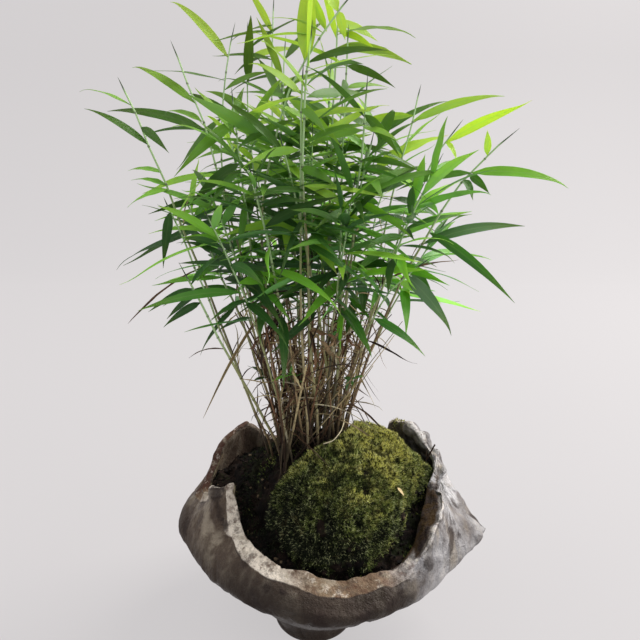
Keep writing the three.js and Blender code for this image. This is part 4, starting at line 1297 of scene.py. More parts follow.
def stand_sprigs(name, points, normals, look, rng, material, brightest=1.0):
    """One piece of moss sprigs, on these points. Neighbours lean together, as tufts."""
    count = len(points)
    shape = spike_shape(sides=4)
    lean = np.array([noise.noise_vector(Vector(p) / SPRIG_TUFT) for p in points])
    tuft = np.array([rough(p, 3.4 * MM) for p in points])
    deep = np.array([hollow(p) for p in points])
    way = unit(normals + 0.25 * UP + 0.6 * lean + rng.normal(0, 0.35, (count, 3)))
    length = rng.uniform(0.6, 1.15, count) * (1 + 0.7 * tuft) * (1 - 0.5 * deep)
    length = length[:, None] * look.sprig_length
    roots = points - normals * SPRIG_ROOT
    radii = rng.uniform(0.7, 1.3, count) * look.sprig_radius
    places = lay_spikes(shape, roots, roots + way * (length + SPRIG_ROOT), radii)
    # How far a sprig stands out of the hollows: the less, the more painted shade it gets
    shown = np.clip(0.75 + 1.1 * tuft - 0.9 * deep, 0, 1)
    cluster = Cluster()
    cluster.add(shape, places, 0, np.stack([rng.random(count) * brightest, shown], axis=1))
    keep_finish(cluster.piece(name, [material]), "moss")


def make_stray_moss(look, rng, material):
    """Moss that has crept over the earth between the stems, and onto the rim at the back right."""
    earth, bowl = (bpy.data.objects[name].data for name in ("earth_fill", "stoneware_bowl"))

    def patches(middles, normals):
        near = np.linalg.norm(middles - MOUND_MIDDLE, axis=1)
        patch = np.array([rough(place, 16 * MM) for place in middles])
        patch = np.maximum(0, patch + np.clip((85 * MM - near) / (30 * MM), -0.3, 0.2))
        return patch * (middles[:, 2] > MOSS_FROM) * (normals[:, 2] > 0)

    def knob(middles, normals):
        near = np.linalg.norm(middles - KNOB_MOSS, axis=1)
        return np.maximum(0, 1 - near / KNOB_MOSS_REACH) * (normals[:, 2] > -0.2)

    ground = scatter(earth, look.stray, rng, patches)
    rim = scatter(bowl, look.stray // 30, rng, knob)
    rim = (rim[0] - KNOB_MOSS_SUNK * rim[1], rim[1])
    points, normals = (np.concatenate(pair) for pair in zip(ground, rim))
    stand_sprigs("moss_stray", points, normals, look, rng, material, STRAY_BRIGHTEST)


def blade_form(rng, dry):
    """How one blade is bent: fresh ones a little, dry ones a lot."""
    if dry:
        return {
            "roll": rng.uniform(-0.5, 0.5),
            "twist": rng.choice((-1, 1)) * rng.uniform(0.5, 3.5),
            "fold": rng.uniform(0.4, 1.3),
            "wave": rng.uniform(0.05, 0.3),
            "waves": rng.uniform(2, 4),
            "phase": rng.random(),
            "thick": 0.22 * MM,
            "curl": rng.uniform(-0.1, 0.35),
            "hook": rng.uniform(-1, 2),
        }
    return {
        "roll": rng.normal(0, 0.1),
        "twist": rng.normal(0, 0.5),
        "fold": abs(rng.normal(0.22, 0.15)),
        "wave": rng.uniform(0.0, 0.09),
        "waves": rng.uniform(1.5, 3.5),
        "phase": rng.random(),
        "thick": 0.3 * MM,
        "curl": rng.uniform(0.0, 0.14),
        "hook": rng.uniform(-1.6, 1.6),
    }


def add_blade(cluster, shape, slot, blade, form, tone, dead):
    """Adds one blade or scrap of leaf, live or dead, to a cluster."""
    laid = lay_blade(shape, blade, form, DRY_OUTLINE if dead else BLADE_OUTLINE)
    cluster.add(shape, laid, slot, (tone, 1.0 if dead else 0.0))


def joint_places(joints):
    """Shares of a culm's length at which its joints stand."""
    return (np.arange(joints) + FIRST_JOINT) / (joints + JOINT_ENDS)


def stem_stations(look):
    """Shares of a culm's length for its rings, three at each joint, and which are joints."""
    joints = joint_places(look.joints)
    close = np.concatenate([joints - JOINT_HALF, joints, joints + JOINT_HALF])
    rest = np.linspace(0, 1, look.stem_rings - len(SPIKE) - len(close))
    stations = np.sort(np.concatenate([close, rest]))
    swollen = np.min(np.abs(stations[:, None] - joints[None]), axis=1) < 1e-6
    return stations, swollen


def mark_stem(shape, look):
    """Writes each ring's true place along the culm into the stem shape's map."""
    stations, _ = stem_stations(look)
    spike = np.linspace(STEM_SHARE, 1, len(SPIKE) + 1)[1:]
    places = np.concatenate([stations * STEM_SHARE, spike])
    rings = np.rint(shape.form[:, 1] * (look.stem_rings - 1)).astype(int)
    shape.form[:, 1] = places[rings]


def dry_strip(rng, start, heading, length, width):
    """The line of a withered scrap of leaf that hangs from a stem."""
    tip = start + heading * length + UP * rng.uniform(-0.4, 0.1) * length
    pull = start + heading * length * 0.5 + UP * rng.uniform(-0.02, 0.2) * length
    side = unit(np.cross(tip - start, UP + rng.normal(0, 0.2, 3)))
    return start, pull, tip, side, width


def spray_blade(rng, stem, share, length):
    """A young blade that springs from a stem, between the ones that the frame gives."""
    start = curve(*stem, [share])[0]
    turn = rng.uniform(0, 2 * math.pi)
    rise = rng.uniform(-0.35, 0.5) if share > 0.6 else rng.uniform(-0.6, 0.1)
    heading = unit(np.array((math.cos(turn), math.sin(turn), rise)))
    tip = start + heading * length
    pull = start + heading * length * 0.5 + UP * length * rng.uniform(0.03, 0.14)
    tilt = UP * rng.uniform(-0.7, 0.7)
    side = unit(np.cross(heading, UP) + tilt)
    return start, pull, tip, side, length * rng.uniform(0.12, 0.17)


def young_blades(look, rng, stem):
    """The young blades of one culm, fewer on one that leans far."""
    lean = np.linalg.norm((stem[2] - stem[0])[:2])
    low, high = look.spray_span
    blades = []
    for _ in range(round(look.sprays * min(1, 1.6 - lean / FAR_LEAN))):
        share = low + (high - low) * rng.random() ** 1.3
        blade = spray_blade(rng, stem, share, rng.uniform(*look.spray_length))
        if blade[0][2] > look.fresh_above:
            blades.append(blade)
    return blades


def add_scrap(cluster, slot, rng, shape, stem, share, length, width):
    """A withered scrap of leaf on a stem, which mostly leans into the clump."""
    start = curve(*stem, [share])[0]
    turn = rng.uniform(0, 2 * math.pi)
    heading = np.array((math.cos(turn), math.sin(turn), rng.uniform(-0.8, 2.4)))
    inwards = CLUMP - start[:2]
    heading[:2] += 0.9 * unit(inwards) * min(1, np.linalg.norm(inwards) / (30 * MM))
    strip = dry_strip(rng, start, unit(heading), length, width)
    add_blade(cluster, shape, slot, strip, blade_form(rng, True), rng.random(), True)


def culm_rod(look, rng, stem):
    """The line and the radii of a culm: a stem that wavers a little, and the rolled leaf."""
    stations, swollen = stem_stations(look)
    joints = joint_places(look.joints)
    line = curve(*stem, stations)
    for side in (0, 1):
        strays = np.interp(stations, joints, rng.normal(0, 0.5 * MM, len(joints)))
        line[:, side] += strays * np.minimum(1, 8 * stations * (1 - stations))
    line[0] -= ROOTED * UP
    along, share = SPIKE.T
    heading = curve_heading(*stem, [1.0])[0]
    spike = look.spike * rng.uniform(0.5, 1.2)
    line = np.concatenate([line, stem[2] + heading * spike * along[:, None]])
    radii = np.interp(stations, (0, 1), (look.stem_foot, look.stem_tip))
    radii *= rng.uniform(0.85, 1.15)
    radii = np.where(swollen, radii * 1.4, radii)
    return line, np.concatenate([radii, look.stem_tip * share])


def make_culm(name, look, rng, shapes, materials):
    """One leafy culm: its stem, its blades, and the withered scraps on its lower joints."""
    points, near = corners_of(name)
    stem = read_stem(points)
    cluster = Cluster()
    line, radii = culm_rod(look, rng, stem)
    age = rng.random()
    cluster.add(shapes["stem"], lay_rod(shapes["stem"], line, radii), CULM, (rng.random(), age))
    steps = np.linspace(0, 1, BLADE_STEPS)
    path = curve(*stem, steps)
    blades = [(blade, True) for blade in read_blades(points, near)]
    if name not in OPEN_CULMS:
        blades += [(blade, False) for blade in young_blades(look, rng, stem)]
    for number, (blade, listed) in enumerate(blades):
        share = steps[np.argmin(np.linalg.norm(path - blade[0], axis=1))]
        dead = listed and (share < look.dead_below or blade[0][2] < look.dead_under)
        wide = blade[4] * (DEAD_WIDTH if dead else rng.uniform(*LIVE_WIDTH))
        tone = TONES.get(name, {}).get(number, rng.beta(1.2, 2.0))
        if tone > BROAD_TONE:
            wide *= BROAD
        blade = (*blade[:4], wide)
        add_blade(cluster, shapes["blade"], BLADE, blade, blade_form(rng, dead), tone, dead)
    joints = joint_places(look.joints)
    for place in joints[joints < look.scraps_to]:
        for _ in range(rng.integers(1, look.scraps + 1)):
            length, width = rng.uniform((8, 0.5), (30, 1.6)) * MM
            add_scrap(cluster, STRAW, rng, shapes["strip"], stem, place, length, width)
    keep_finish(cluster.piece(name.replace("culm", "leafy_culm"), materials), "leaf", name)


def stalk_line(rng, foot, rings):
    """The line of a bare dry stalk that leans between the culms."""
    turn = rng.uniform(0, 2 * math.pi)
    lean = rng.uniform(0.1, 0.6)
    away = np.array((math.cos(turn), math.sin(turn))) * math.sin(lean)
    away += 0.3 * unit(CLUMP - foot[:2])
    start = foot + rng.uniform(-3, 3, 3) * MM
    tip = start + rng.uniform(40, 100) * MM * np.array((*away, math.cos(lean)))
    pull = (start + tip) / 2 + rng.normal(0, 5 * MM, 3)
    line = curve(start, pull, tip, np.linspace(0, 1, rings))
    line[0, 2] -= 5 * MM
    return line


def make_tuft(name, look, rng, shapes, material):
    """One old tuft: a root stub with dead stems, and dry sheaths and scraps on them."""
    points, near = corners_of(name)
    foot = foot_of(points)
    cluster = Cluster()

    def add_dead(shape, line, radii):
        cluster.add(shape, lay_rod(shape, line, radii), 0, (rng.random(), 1.0))

    line = foot + UP * np.linspace(-ROOTED, ROOTED, STUB_RINGS)[:, None]
    add_dead(shapes["stub"], line, STUB_RADIUS * rng.uniform(0.8, 1.15, STUB_RINGS))
    shares = np.linspace(0, 1, look.dead_rings)
    for stem in read_dead_stems(points, near):
        radii = np.interp(shares, (0, 1), (0.7 * MM, 0.38 * MM))
        radii *= rng.uniform(0.85, 1.25, len(shares))
        add_dead(shapes["dead"], curve(*stem, shares), radii)
        for _ in range(look.dead_scraps):
            length, width = rng.uniform((12, 0.6), (44, 2.0)) * MM
            place = rng.uniform(0.15, 1.0)
            add_scrap(cluster, 0, rng, shapes["strip"], stem, place, length, width)
    for _ in range(look.stalks):
        line = stalk_line(rng, foot, look.dead_rings)
        radii = np.linspace(0.5, 0.22, len(line)) * MM * rng.uniform(0.8, 1.2)
        add_dead(shapes["dead"], line, radii)
    keep_finish(cluster.piece(name.replace("tuft", "dead_tuft"), [material]), "straw", name)


def make_crumbs(look, earth, rng):
    """Crumbs of earth of every size on the earth's open surface."""
    bm = bmesh.new()
    bmesh.ops.create_icosphere(bm, subdivisions=1, radius=1)
    shape = Shape(bm, lambda co: (0.5, co.z))

    def keep(middles, normals):
        return (middles[:, 2] > OPEN_GROUND) * (normals[:, 2] > 0)

    points, _ = scatter(earth.data, look.crumbs, rng, keep)
    sizes = rng.uniform(0.3, 1.0, look.crumbs) ** 2 * look.crumb_size
    stretch = rng.uniform(0.6, 1.4, (look.crumbs, 1, 3))
    dents = rng.uniform(0.7, 1.2, (look.crumbs, len(shape.points), 1))
    lumps = shape.points[None] * stretch * dents * sizes[:, None, None]
    cluster = Cluster()
    cluster.add(shape, points[:, None] + lumps, 0, rng.random((look.crumbs, 2)))
    keep_finish(cluster.piece("earth_crumbs", [crumb_material(look)]), "earth")


def make_litter(rng, material):
    """A fallen leaf, a pale stem and a forked twig."""
    cluster = Cluster()
    rod = rod_shape(sides=6, rings=TWIG_RINGS)
    shares = np.linspace(0, 1, TWIG_RINGS)
    for places, radius, tone in TWIGS:
        knots = np.linspace(0, 1, len(places))
        line = np.stack([np.interp(shares, knots, row) for row in np.array(places).T * MM], axis=1)
        line[1:-1] = (line[:-2] + 2 * line[1:-1] + line[2:]) / 4
        radii = radius * MM * rng.uniform(0.7, 1.1, TWIG_RINGS)
        cluster.add(rod, lay_rod(rod, line, radii), 0, (tone, 0.0))
    start, pull, tip = np.array(FALLEN_LEAF) * MM
    side = unit(np.cross(tip - start, (0.8, -0.45, 0.4)))
    shape = blade_shape(across=4, along=8)
    form = dict(blade_form(rng, False), thick=0.4 * MM, roll=0.3)
    laid = lay_blade(shape, (start, pull, tip, side, 3.2 * MM), form, DRY_OUTLINE)
    cluster.add(shape, laid, 0, (0.25, 0.0))
    keep_finish(cluster.piece("litter", [material]), "straw")


def on_culm(stems, place):
    """The point on the nearest culm to a place in mm."""
    steps = np.linspace(0, 1, PLACE_STEPS)
    paths = np.concatenate([curve(*stem, steps) for stem in stems])
    return paths[np.argmin(np.linalg.norm(paths - np.array(place) * MM, axis=1))]


def make_lone_blades(rng, stems, shape, materials):
    """Single blades, small fresh shoots and curled dead leaves, each on the nearest culm."""
    cluster = Cluster()
    for place, tip, width, tone in LONE_BLADES:
        start = on_culm(stems, place)
        tip = np.array(tip) * MM
        pull = (start + tip) / 2 + UP * 0.12 * np.linalg.norm(tip - start)
        side = unit(np.cross(tip - start, (0.1, -1.0, 0.5)))
        blade = (start, pull, tip, side, width * MM)
        add_blade(cluster, shape, BLADE, blade, blade_form(rng, False), tone, False)
    for place, tone in SHOOTS:
        start = on_culm(stems, place)
        for _ in range(SHOOT_BLADES):
            heading = unit(rng.normal(0, 1, 3) + (0, -0.6, 0.4))
            tip = start + heading * rng.uniform(8, 16) * MM
            pull = (start + tip) / 2 + UP * 1.5 * MM
            side = unit(np.cross(heading, UP + rng.normal(0, 0.3, 3)))
            blade = (start, pull, tip, side, rng.uniform(2.4, 3.6) * MM)
            add_blade(cluster, shape, BLADE, blade, blade_form(rng, False), tone, False)
    for place in CURLS:
        start = on_culm(stems, place)
        for _ in range(CURL_BLADES):
            heading = unit(rng.normal(0, 1, 3) - (0, 0.4, 0.3))
            length = rng.uniform(14, 26) * MM
            strip = dry_strip(rng, start, heading, length, rng.uniform(2.0, 4.2) * MM)
            form = dict(blade_form(rng, True), twist=rng.uniform(-7, 7), curl=rng.uniform(0.4, 1.2))
            add_blade(cluster, shape, STRAW, strip, form, rng.uniform(0.3, 0.8), True)
    keep_finish(cluster.piece("lone_blades", materials), "leaf")


# What a user may change


class BowlSettings(bpy.types.PropertyGroup):
    """The bowl's form and finish."""

    levels: bpy.props.IntProperty(
        name="Smoothing", description="Times that the wall's faces are divided", default=3,
        min=1, max=4,
    )
    torn: bpy.props.FloatProperty(
        name="Torn rim", description="Height of the torn rim's lumps", default=1.3 * MM,
        unit="LENGTH",
    )
    lip_share: bpy.props.FloatProperty(
        name="Lip depth", description="Depth of the lip's broken face, as a share of its usual one",
        default=1.0, subtype="FACTOR",
    )
    roughness: bpy.props.FloatProperty(
        name="Roughness", description="Roughness of the cleanest clay", default=0.38,
        min=0, max=1, subtype="FACTOR",
    )
    clay: bpy.props.FloatVectorProperty(
        name="Clay", description="Brown clay at the left and front", subtype="COLOR",
        default=srgb(0x54463A),
    )
    silver: bpy.props.FloatVectorProperty(
        name="Silver", description="Grey clay at the right", subtype="COLOR",
        default=srgb(0x6E6B6B),
    )
    # Painted sheen: the pale patches on the grey clay, the highlights on its folds and the lip at the
    # right
    shine: bpy.props.FloatVectorProperty(
        name="Shine", description="The palest of the grey clay", subtype="COLOR",
        default=srgb(0xACA9A9),
    )
    bloom: bpy.props.FloatVectorProperty(
        name="Bloom", description="Pale streaks on the wall", subtype="COLOR",
        default=srgb(0x988C7A),
    )
    # Also the painted shade in the folds' creases near the pinch
    shadow: bpy.props.FloatVectorProperty(
        name="Shadow", description="Darker patches of the clay", subtype="COLOR",
        default=srgb(0x473B33),
    )
    # Also the painted shade on the inner wall towards the back
    stain: bpy.props.FloatVectorProperty(
        name="Stain", description="Dark stains and flecks", subtype="COLOR",
        default=srgb(0x2B221F),
    )
    # Painted shade on the underside
    underside_shade: bpy.props.FloatVectorProperty(
        name="Soot", description="The dark underside", subtype="COLOR", default=srgb(0x2A211B)
    )
    # Dark to paint the shade in the cavity at the right and the back
    inside: bpy.props.FloatVectorProperty(
        name="Inside", description="The wall above the soil", subtype="COLOR",
        default=srgb(0x33240F),
    )
    # Paler than the inside colour, out of the painted shade
    inside_left: bpy.props.FloatVectorProperty(
        name="Inside left", description="The drier wall above the soil at the left",
        subtype="COLOR", default=srgb(0x8A8064),
    )
    rust: bpy.props.FloatVectorProperty(
        name="Rust", description="Reddish specks on the lip", subtype="COLOR",
        default=srgb(0x4C3225),
    )
    lip: bpy.props.FloatVectorProperty(
        name="Lip", description="The worn lip", subtype="COLOR", default=srgb(0xDCD0C0)
    )
    lip_warm: bpy.props.FloatVectorProperty(
        name="Warm lip", description="Warmer parts of the lip", subtype="COLOR",
        default=srgb(0x75624E),
    )
    lip_burnt: bpy.props.FloatVectorProperty(
        name="Burnt lip", description="The burnt lip at the back left", subtype="COLOR",
        default=srgb(0x43291F),
    )


class SoilSettings(bpy.types.PropertyGroup):
    """The earth."""

    face: bpy.props.FloatProperty(
        name="Face size", description="Size of the earth's faces", default=1.2 * MM, unit="LENGTH"
    )
    clods: bpy.props.FloatProperty(
        name="Clods", description="Height of the clods", default=5 * MM, unit="LENGTH"
    )
    crumbs: bpy.props.IntProperty(
        name="Crumbs", description="Loose crumbs on the earth", default=3600, min=1
    )
    crumb_size: bpy.props.FloatProperty(
        name="Crumb size", description="Radius of the largest crumb", default=1.5 * MM,
        unit="LENGTH",
    )
    dark: bpy.props.FloatVectorProperty(
        name="Dark", description="Damp earth", subtype="COLOR", default=srgb(0x0E0A08)
    )
    brown: bpy.props.FloatVectorProperty(
        name="Brown", description="Drier earth", subtype="COLOR", default=srgb(0x231914)
    )
    crumb: bpy.props.FloatVectorProperty(
        name="Pale crumbs", description="Pale crumbs", subtype="COLOR", default=srgb(0x6A5A46)
    )
    algae: bpy.props.FloatVectorProperty(
        name="Green film", description="Green film on old earth", subtype="COLOR",
        default=srgb(0x252D15),
    )


class MossSettings(bpy.types.PropertyGroup):
    """The moss cushion and its sprigs."""

    face: bpy.props.FloatProperty(
        name="Face size", description="Size of the cushion's faces", default=1.3 * MM, unit="LENGTH"
    )
    lumps: bpy.props.FloatProperty(
        name="Lumps", description="Height of the cushion's lumps", default=1.9 * MM, unit="LENGTH"
    )
    sprigs: bpy.props.IntProperty(
        name="Sprigs", description="Sprigs in each of the two layers", default=26000, min=100
    )
    stray: bpy.props.IntProperty(
        name="Stray sprigs", description="Sprigs on the open earth", default=7000, min=12
    )
    sprig_length: bpy.props.FloatProperty(
        name="Sprig length", description="Usual length of a sprig", default=2.3 * MM, unit="LENGTH"
    )
    sprig_radius: bpy.props.FloatProperty(
        name="Sprig radius", description="Usual radius of a sprig", default=0.46 * MM, unit="LENGTH"
    )
    # Painted shade between the sprigs, at their roots and in hollows
    deep: bpy.props.FloatVectorProperty(
        name="Deep", description="Between the sprigs", subtype="COLOR", default=srgb(0x0A0C06)
    )
    shade: bpy.props.FloatVectorProperty(
        name="Shade", description="Moss at the left and below", subtype="COLOR",
        default=srgb(0x333A24),
    )
    green: bpy.props.FloatVectorProperty(
        name="Green", description="Most of the moss", subtype="COLOR", default=srgb(0x84924A)
    )
    # Painted light: the moss at the top and right, where the light falls
    yellow: bpy.props.FloatVectorProperty(
        name="Yellow", description="Moss at the top and right", subtype="COLOR",
        default=srgb(0xE2DE80),
    )
    tan: bpy.props.FloatVectorProperty(
        name="Tan", description="Dry patches", subtype="COLOR", default=srgb(0xA08C5C)
    )
    bright: bpy.props.FloatVectorProperty(
        name="Bright", description="The palest sprigs", subtype="COLOR", default=srgb(0xDDE0A8)
    )


class GrassSettings(bpy.types.PropertyGroup):
    """The green culms and their blades."""

    seed: bpy.props.IntProperty(
        name="Seed", description="Seed of every random draw", default=7, min=1
    )
    joints: bpy.props.IntProperty(name="Joints", description="Joints on a culm", default=8, min=2)
    stem_rings: bpy.props.IntProperty(
        name="Stem rings", description="Rings along a culm", default=42, min=32
    )
    stem_foot: bpy.props.FloatProperty(
        name="Foot radius", description="Radius of a culm at the soil", default=0.78 * MM,
        unit="LENGTH",
    )
    stem_tip: bpy.props.FloatProperty(
        name="Tip radius", description="Radius of a culm at its top", default=0.44 * MM,
        unit="LENGTH",
    )
    spike: bpy.props.FloatProperty(
        name="Spike", description="Length of the rolled leaf at the top", default=11 * MM,
        unit="LENGTH",
    )
    sprays: bpy.props.IntProperty(
        name="Young blades", description="Small young blades on each culm", default=11, min=0
    )
    spray_span: bpy.props.FloatVectorProperty(
        name="Young blades from and to", description="Shares of the culm that they grow on",
        size=2, default=(0.42, 0.97),
    )
    spray_length: bpy.props.FloatVectorProperty(
        name="Young blades' length", description="Shortest and longest", size=2, unit="LENGTH",
        default=(26 * MM, 56 * MM),
    )
    dead_below: bpy.props.FloatProperty(
        name="Dead below", description="Blades lower on the culm than this share are dead",
        default=0.5, subtype="FACTOR",
    )
    fresh_above: bpy.props.FloatProperty(
        name="Fresh above", description="No young blade starts lower than this",
        default=200 * MM, unit="LENGTH",
    )
    dead_under: bpy.props.FloatProperty(
        name="Dead under", description="Blades that start lower than this are dead",
        default=196 * MM, unit="LENGTH",
    )
    scraps_to: bpy.props.FloatProperty(
        name="Scraps to", description="Withered scraps hang below this share of a culm",
        default=0.58, subtype="FACTOR",
    )
    scraps: bpy.props.IntProperty(
        name="Scraps", description="Most withered scraps on a joint", default=2, min=1
    )
    translucency: bpy.props.FloatProperty(
        name="Translucency", description="Share of the light that passes a blade", default=0.5,
        subtype="FACTOR",
    )
    roughness: bpy.props.FloatProperty(
        name="Roughness", description="Roughness of a fresh blade", default=0.4, subtype="FACTOR"
    )
    low: bpy.props.FloatVectorProperty(
        name="Low blades", description="Shaded blades", subtype="COLOR", default=srgb(0x2A702E)
    )
    middle: bpy.props.FloatVectorProperty(
        name="Middle blades", description="Most blades", subtype="COLOR", default=srgb(0x70AE34)
    )
    # Partly painted light at the top of the clump, partly the young blades' own colour
    top: bpy.props.FloatVectorProperty(
        name="Top blades", description="Young blades", subtype="COLOR", default=srgb(0xA4BA40)
    )
    vein: bpy.props.FloatVectorProperty(
        name="Veins", description="Veins and midrib", subtype="COLOR", default=srgb(0xA2BE6A)
    )
    under: bpy.props.FloatVectorProperty(
        name="Underside", description="The blades' undersides", subtype="COLOR",
        default=srgb(0x84BC88),
    )
    glow: bpy.props.FloatVectorProperty(
        name="Glow", description="Light that passes a low blade", subtype="COLOR",
        default=srgb(0x88B838),
    )
    glow_top: bpy.props.FloatVectorProperty(
        name="Top glow", description="Light that passes a young blade", subtype="COLOR",
        default=srgb(0xB2BC42),
    )
    # Painted shade on the rolled leaf at a culm's top
    spike_tip: bpy.props.FloatVectorProperty(
        name="Rolled leaf", description="The rolled leaf at a culm's top", subtype="COLOR",
        default=srgb(0x3D4F33),
    )
    stem: bpy.props.FloatVectorProperty(
        name="Stem", description="Middle of a culm", subtype="COLOR", default=srgb(0x979A66)
    )
    stem_top: bpy.props.FloatVectorProperty(
        name="Stem top", description="Top of a culm", subtype="COLOR", default=srgb(0xA6C488)
    )


class StrawSettings(bpy.types.PropertyGroup):
    """The dead stems and scraps."""

    dead_rings: bpy.props.IntProperty(
        name="Rings", description="Rings along a dead stem", default=12, min=4
    )
    dead_scraps: bpy.props.IntProperty(
        name="Scraps", description="Dry scraps on a dead stem", default=5, min=0
    )
    stalks: bpy.props.IntProperty(
        name="Stalks", description="Bare dry stalks on a tuft", default=5, min=0
    )
    tan: bpy.props.FloatVectorProperty(
        name="Tan", description="Newly dead", subtype="COLOR", default=srgb(0xBEAC80)
    )
    rust: bpy.props.FloatVectorProperty(
        name="Rust", description="Reddish brown", subtype="COLOR", default=srgb(0x7C5A42)
    )
    brown: bpy.props.FloatVectorProperty(
        name="Brown", description="Old and damp", subtype="COLOR", default=srgb(0x36291F)
    )
    pale: bpy.props.FloatVectorProperty(
        name="Pale", description="Bleached", subtype="COLOR", default=srgb(0xC8BC9C)
    )
    # Painted shade on the dead stems near the earth
    darkened: bpy.props.FloatVectorProperty(
        name="Damp", description="Dead stems near the earth", subtype="COLOR",
        default=srgb(0x231A13),
    )


class StageSettings(bpy.types.PropertyGroup):
    """The floor, the light and the camera."""

    floor: bpy.props.FloatVectorProperty(
        name="Floor", description="Floor and backdrop", subtype="COLOR", default=srgb(0x4C4A4A)
    )
    glow: bpy.props.FloatVectorProperty(
        name="Glow", description="Even light of the backdrop", subtype="COLOR",
        default=srgb(0xFFFBFC),
    )
    glow_strength: bpy.props.FloatProperty(
        name="Glow strength", description="Strength of that light", default=0.54, min=0
    )
    eye: bpy.props.FloatVectorProperty(
        name="Eye", description="Where the camera stands", subtype="TRANSLATION", unit="LENGTH",
        default=(4 * MM, -305 * MM, 290 * MM),
    )
    dip: bpy.props.FloatProperty(
        name="Dip", description="How far the camera looks down", subtype="ANGLE",
        default=math.radians(16),
    )
    lens: bpy.props.FloatProperty(name="Lens", description="Focal length in mm", default=31.5)
    room: bpy.props.FloatProperty(
        name="Room light", description="Strength of the light from all sides", default=0.68, min=0
    )


GROUPS = {
    "bamboo_bowl": BowlSettings,
    "bamboo_soil": SoilSettings,
    "bamboo_moss": MossSettings,
    "bamboo_grass": GrassSettings,
    "bamboo_straw": StrawSettings,
    "bamboo_stage": StageSettings,
}


# The operators


class BAMBOO_OT_effects(bpy.types.Operator):
    """Build the effects that several finishes share"""

    bl_idname = "bamboo.effects"
    bl_label = "Shared effects"

    def execute(self, context):
        weathering_group()
        fibre_group()
        return {"FINISHED"}


class BAMBOO_OT_bowl(bpy.types.Operator):
    """Make the torn stoneware bowl"""

    bl_idname = "bamboo.bowl"
    bl_label = "Bowl"

    def execute(self, context):
        steady_noise(context.scene)
        make_bowl(context.scene.bamboo_bowl)
        return {"FINISHED"}


class BAMBOO_OT_soil(bpy.types.Operator):
    """Make the earth"""

    bl_idname = "bamboo.soil"
    bl_label = "Earth"

    def execute(self, context):
        look = context.scene.bamboo_soil
        make_crumbs(look, make_soil(look), draws(context.scene, "soil"))
        return {"FINISHED"}


class BAMBOO_OT_moss(bpy.types.Operator):
    """Make the moss cushion and its sprigs"""

    bl_idname = "bamboo.moss"
    bl_label = "Moss"

    def execute(self, context):
        steady_noise(context.scene)
        look = context.scene.bamboo_moss
        rng = draws(context.scene, "moss")
        sprigs = sprig_material(look)
        make_moss(look, rng, sprigs)
        make_stray_moss(look, rng, sprigs)
        return {"FINISHED"}


class BAMBOO_OT_culms(bpy.types.Operator):
    """Make the leafy culms"""

    bl_idname = "bamboo.culms"
    bl_label = "Leafy culms"

    def execute(self, context):
        look = context.scene.bamboo_grass
        dry = context.scene.bamboo_straw
        rng = draws(context.scene, "culms")
        shapes = {
            "stem": rod_shape(sides=6, rings=look.stem_rings),
            "blade": blade_shape(across=4, along=14),
            "strip": blade_shape(across=2, along=9),
        }
        mark_stem(shapes["stem"], look)
        materials = [blade_material(look, dry), culm_material(look, dry), straw_material(dry)]
        for name in CULMS:
            make_culm(name, look, rng, shapes, materials)
        stems = [read_stem(corners_of(name)[0]) for name in CULMS]
        make_lone_blades(rng, stems, shapes["blade"], materials)
        return {"FINISHED"}


class BAMBOO_OT_tufts(bpy.types.Operator):
    """Make the old tufts of dead stems"""

    bl_idname = "bamboo.tufts"
    bl_label = "Dead tufts"

    def execute(self, context):
        look = context.scene.bamboo_straw
        rng = draws(context.scene, "tufts")
        shapes = {
            "stub": rod_shape(sides=8, rings=STUB_RINGS),
            "dead": rod_shape(sides=5, rings=look.dead_rings),
            "strip": blade_shape(across=2, along=9),
        }
        material = straw_material(look)
        for name in TUFTS:
            make_tuft(name, look, rng, shapes, material)
        make_litter(rng, material)
        return {"FINISHED"}


class BAMBOO_OT_stage(bpy.types.Operator):
    """Set up the floor, the light and the camera"""

    bl_idname = "bamboo.stage"
    bl_label = "Stage"

    def execute(self, context):
        look = context.scene.bamboo_stage
        make_backdrop(look)
        for light in LIGHTS:
            add_area_light(*light)
        world = bpy.data.worlds.new("room")
        world.use_nodes = True
        background = world.node_tree.nodes["Background"]
        background.inputs["Color"].default_value = ROOM_COLOUR
        background.inputs["Strength"].default_value = look.room
        context.scene.world = world
        camera = bpy.data.cameras.new("camera")
        camera.lens = look.lens
        camera.sensor_width = SENSOR_WIDTH
        eye = bpy.data.objects.new("camera", camera)
        eye.location = look.eye
        eye.rotation_euler = (math.pi / 2 - look.dip, 0, 0)
        context.scene.collection.objects.link(eye)
        context.scene.camera = eye
        context.scene.view_settings.view_transform = "Standard"
        return {"FINISHED"}


def of_kind(geometry, kind):
    """The vertices, or the edges, of what a bmesh operator gives back."""
    return [item for item in geometry if isinstance(item, kind)]


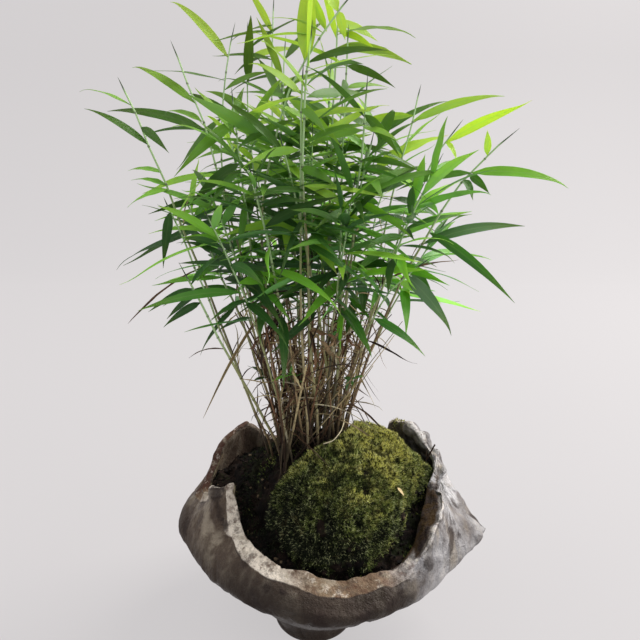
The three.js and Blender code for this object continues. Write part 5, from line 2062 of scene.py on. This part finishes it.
def make_backdrop(look):
    """A pale floor that curves up into a wall behind the plant."""
    bm = bmesh.new()
    ends = [bm.verts.new((x, FLOOR_NEAR, 0.0)) for x in (-BACKDROP_HALF, BACKDROP_HALF)]
    made = bmesh.ops.extrude_edge_only(bm, edges=[bm.edges.new(ends)])["geom"]
    verts = of_kind(made, bmesh.types.BMVert)
    bmesh.ops.translate(bm, verts=verts, vec=(0, FLOOR_FAR - FLOOR_NEAR, 0))
    made = bmesh.ops.spin(
        bm, geom=verts + of_kind(made, bmesh.types.BMEdge), axis=(1, 0, 0),
        cent=(0, FLOOR_FAR, BEND_RADIUS), dvec=(0, 0, 0), angle=math.pi / 2, steps=16,
        use_merge=False, use_duplicate=False,
    )["geom_last"]
    made = bmesh.ops.extrude_edge_only(bm, edges=of_kind(made, bmesh.types.BMEdge))["geom"]
    verts = of_kind(made, bmesh.types.BMVert)
    bmesh.ops.translate(bm, verts=verts, vec=(0, 0, BACKDROP_RISE))
    bmesh.ops.recalc_face_normals(bm, faces=bm.faces)
    mesh = bpy.data.meshes.new("backdrop")
    bm.to_mesh(mesh)
    bm.free()
    mesh.shade_smooth()
    mesh.materials.append(backdrop_material(look))
    add_object("backdrop", mesh)


def add_area_light(name, place, target, size, power, colour):
    """A square soft light that points at a target."""
    lamp = bpy.data.lights.new(name, "AREA")
    lamp.size = size
    lamp.energy = power
    lamp.color = colour
    made = bpy.data.objects.new(name, lamp)
    made.location = place
    away = Vector(place) - Vector(target)
    made.rotation_euler = away.to_track_quat("Z", "Y").to_euler()
    bpy.context.scene.collection.objects.link(made)


OPERATORS = (
    BAMBOO_OT_effects,
    BAMBOO_OT_bowl,
    BAMBOO_OT_soil,
    BAMBOO_OT_moss,
    BAMBOO_OT_culms,
    BAMBOO_OT_tufts,
    BAMBOO_OT_stage,
)


class BAMBOO_PT_panel(bpy.types.Panel):
    """Lists the steps in their order"""

    bl_label = "Bamboo grass"
    bl_idname = "BAMBOO_PT_panel"
    bl_space_type = "VIEW_3D"
    bl_region_type = "UI"
    bl_category = "Bamboo grass"

    def draw(self, context):
        for operator in OPERATORS:
            self.layout.operator(operator.bl_idname)


def register():
    """Adds the settings, the operators and the panel to Blender."""
    for name, group in GROUPS.items():
        bpy.utils.register_class(group)
        setattr(bpy.types.Scene, name, bpy.props.PointerProperty(type=group))
    for operator in OPERATORS:
        bpy.utils.register_class(operator)
    bpy.utils.register_class(BAMBOO_PT_panel)


def unregister():
    """Takes them away again."""
    bpy.utils.unregister_class(BAMBOO_PT_panel)
    for operator in OPERATORS:
        bpy.utils.unregister_class(operator)
    for name, group in GROUPS.items():
        delattr(bpy.types.Scene, name)
        bpy.utils.unregister_class(group)


def main():
    """Makes everything, in order."""
    register()
    for operator in OPERATORS:
        group, name = operator.bl_idname.split(".")
        getattr(getattr(bpy.ops, group), name)()


if __name__ == "__main__":
    main()
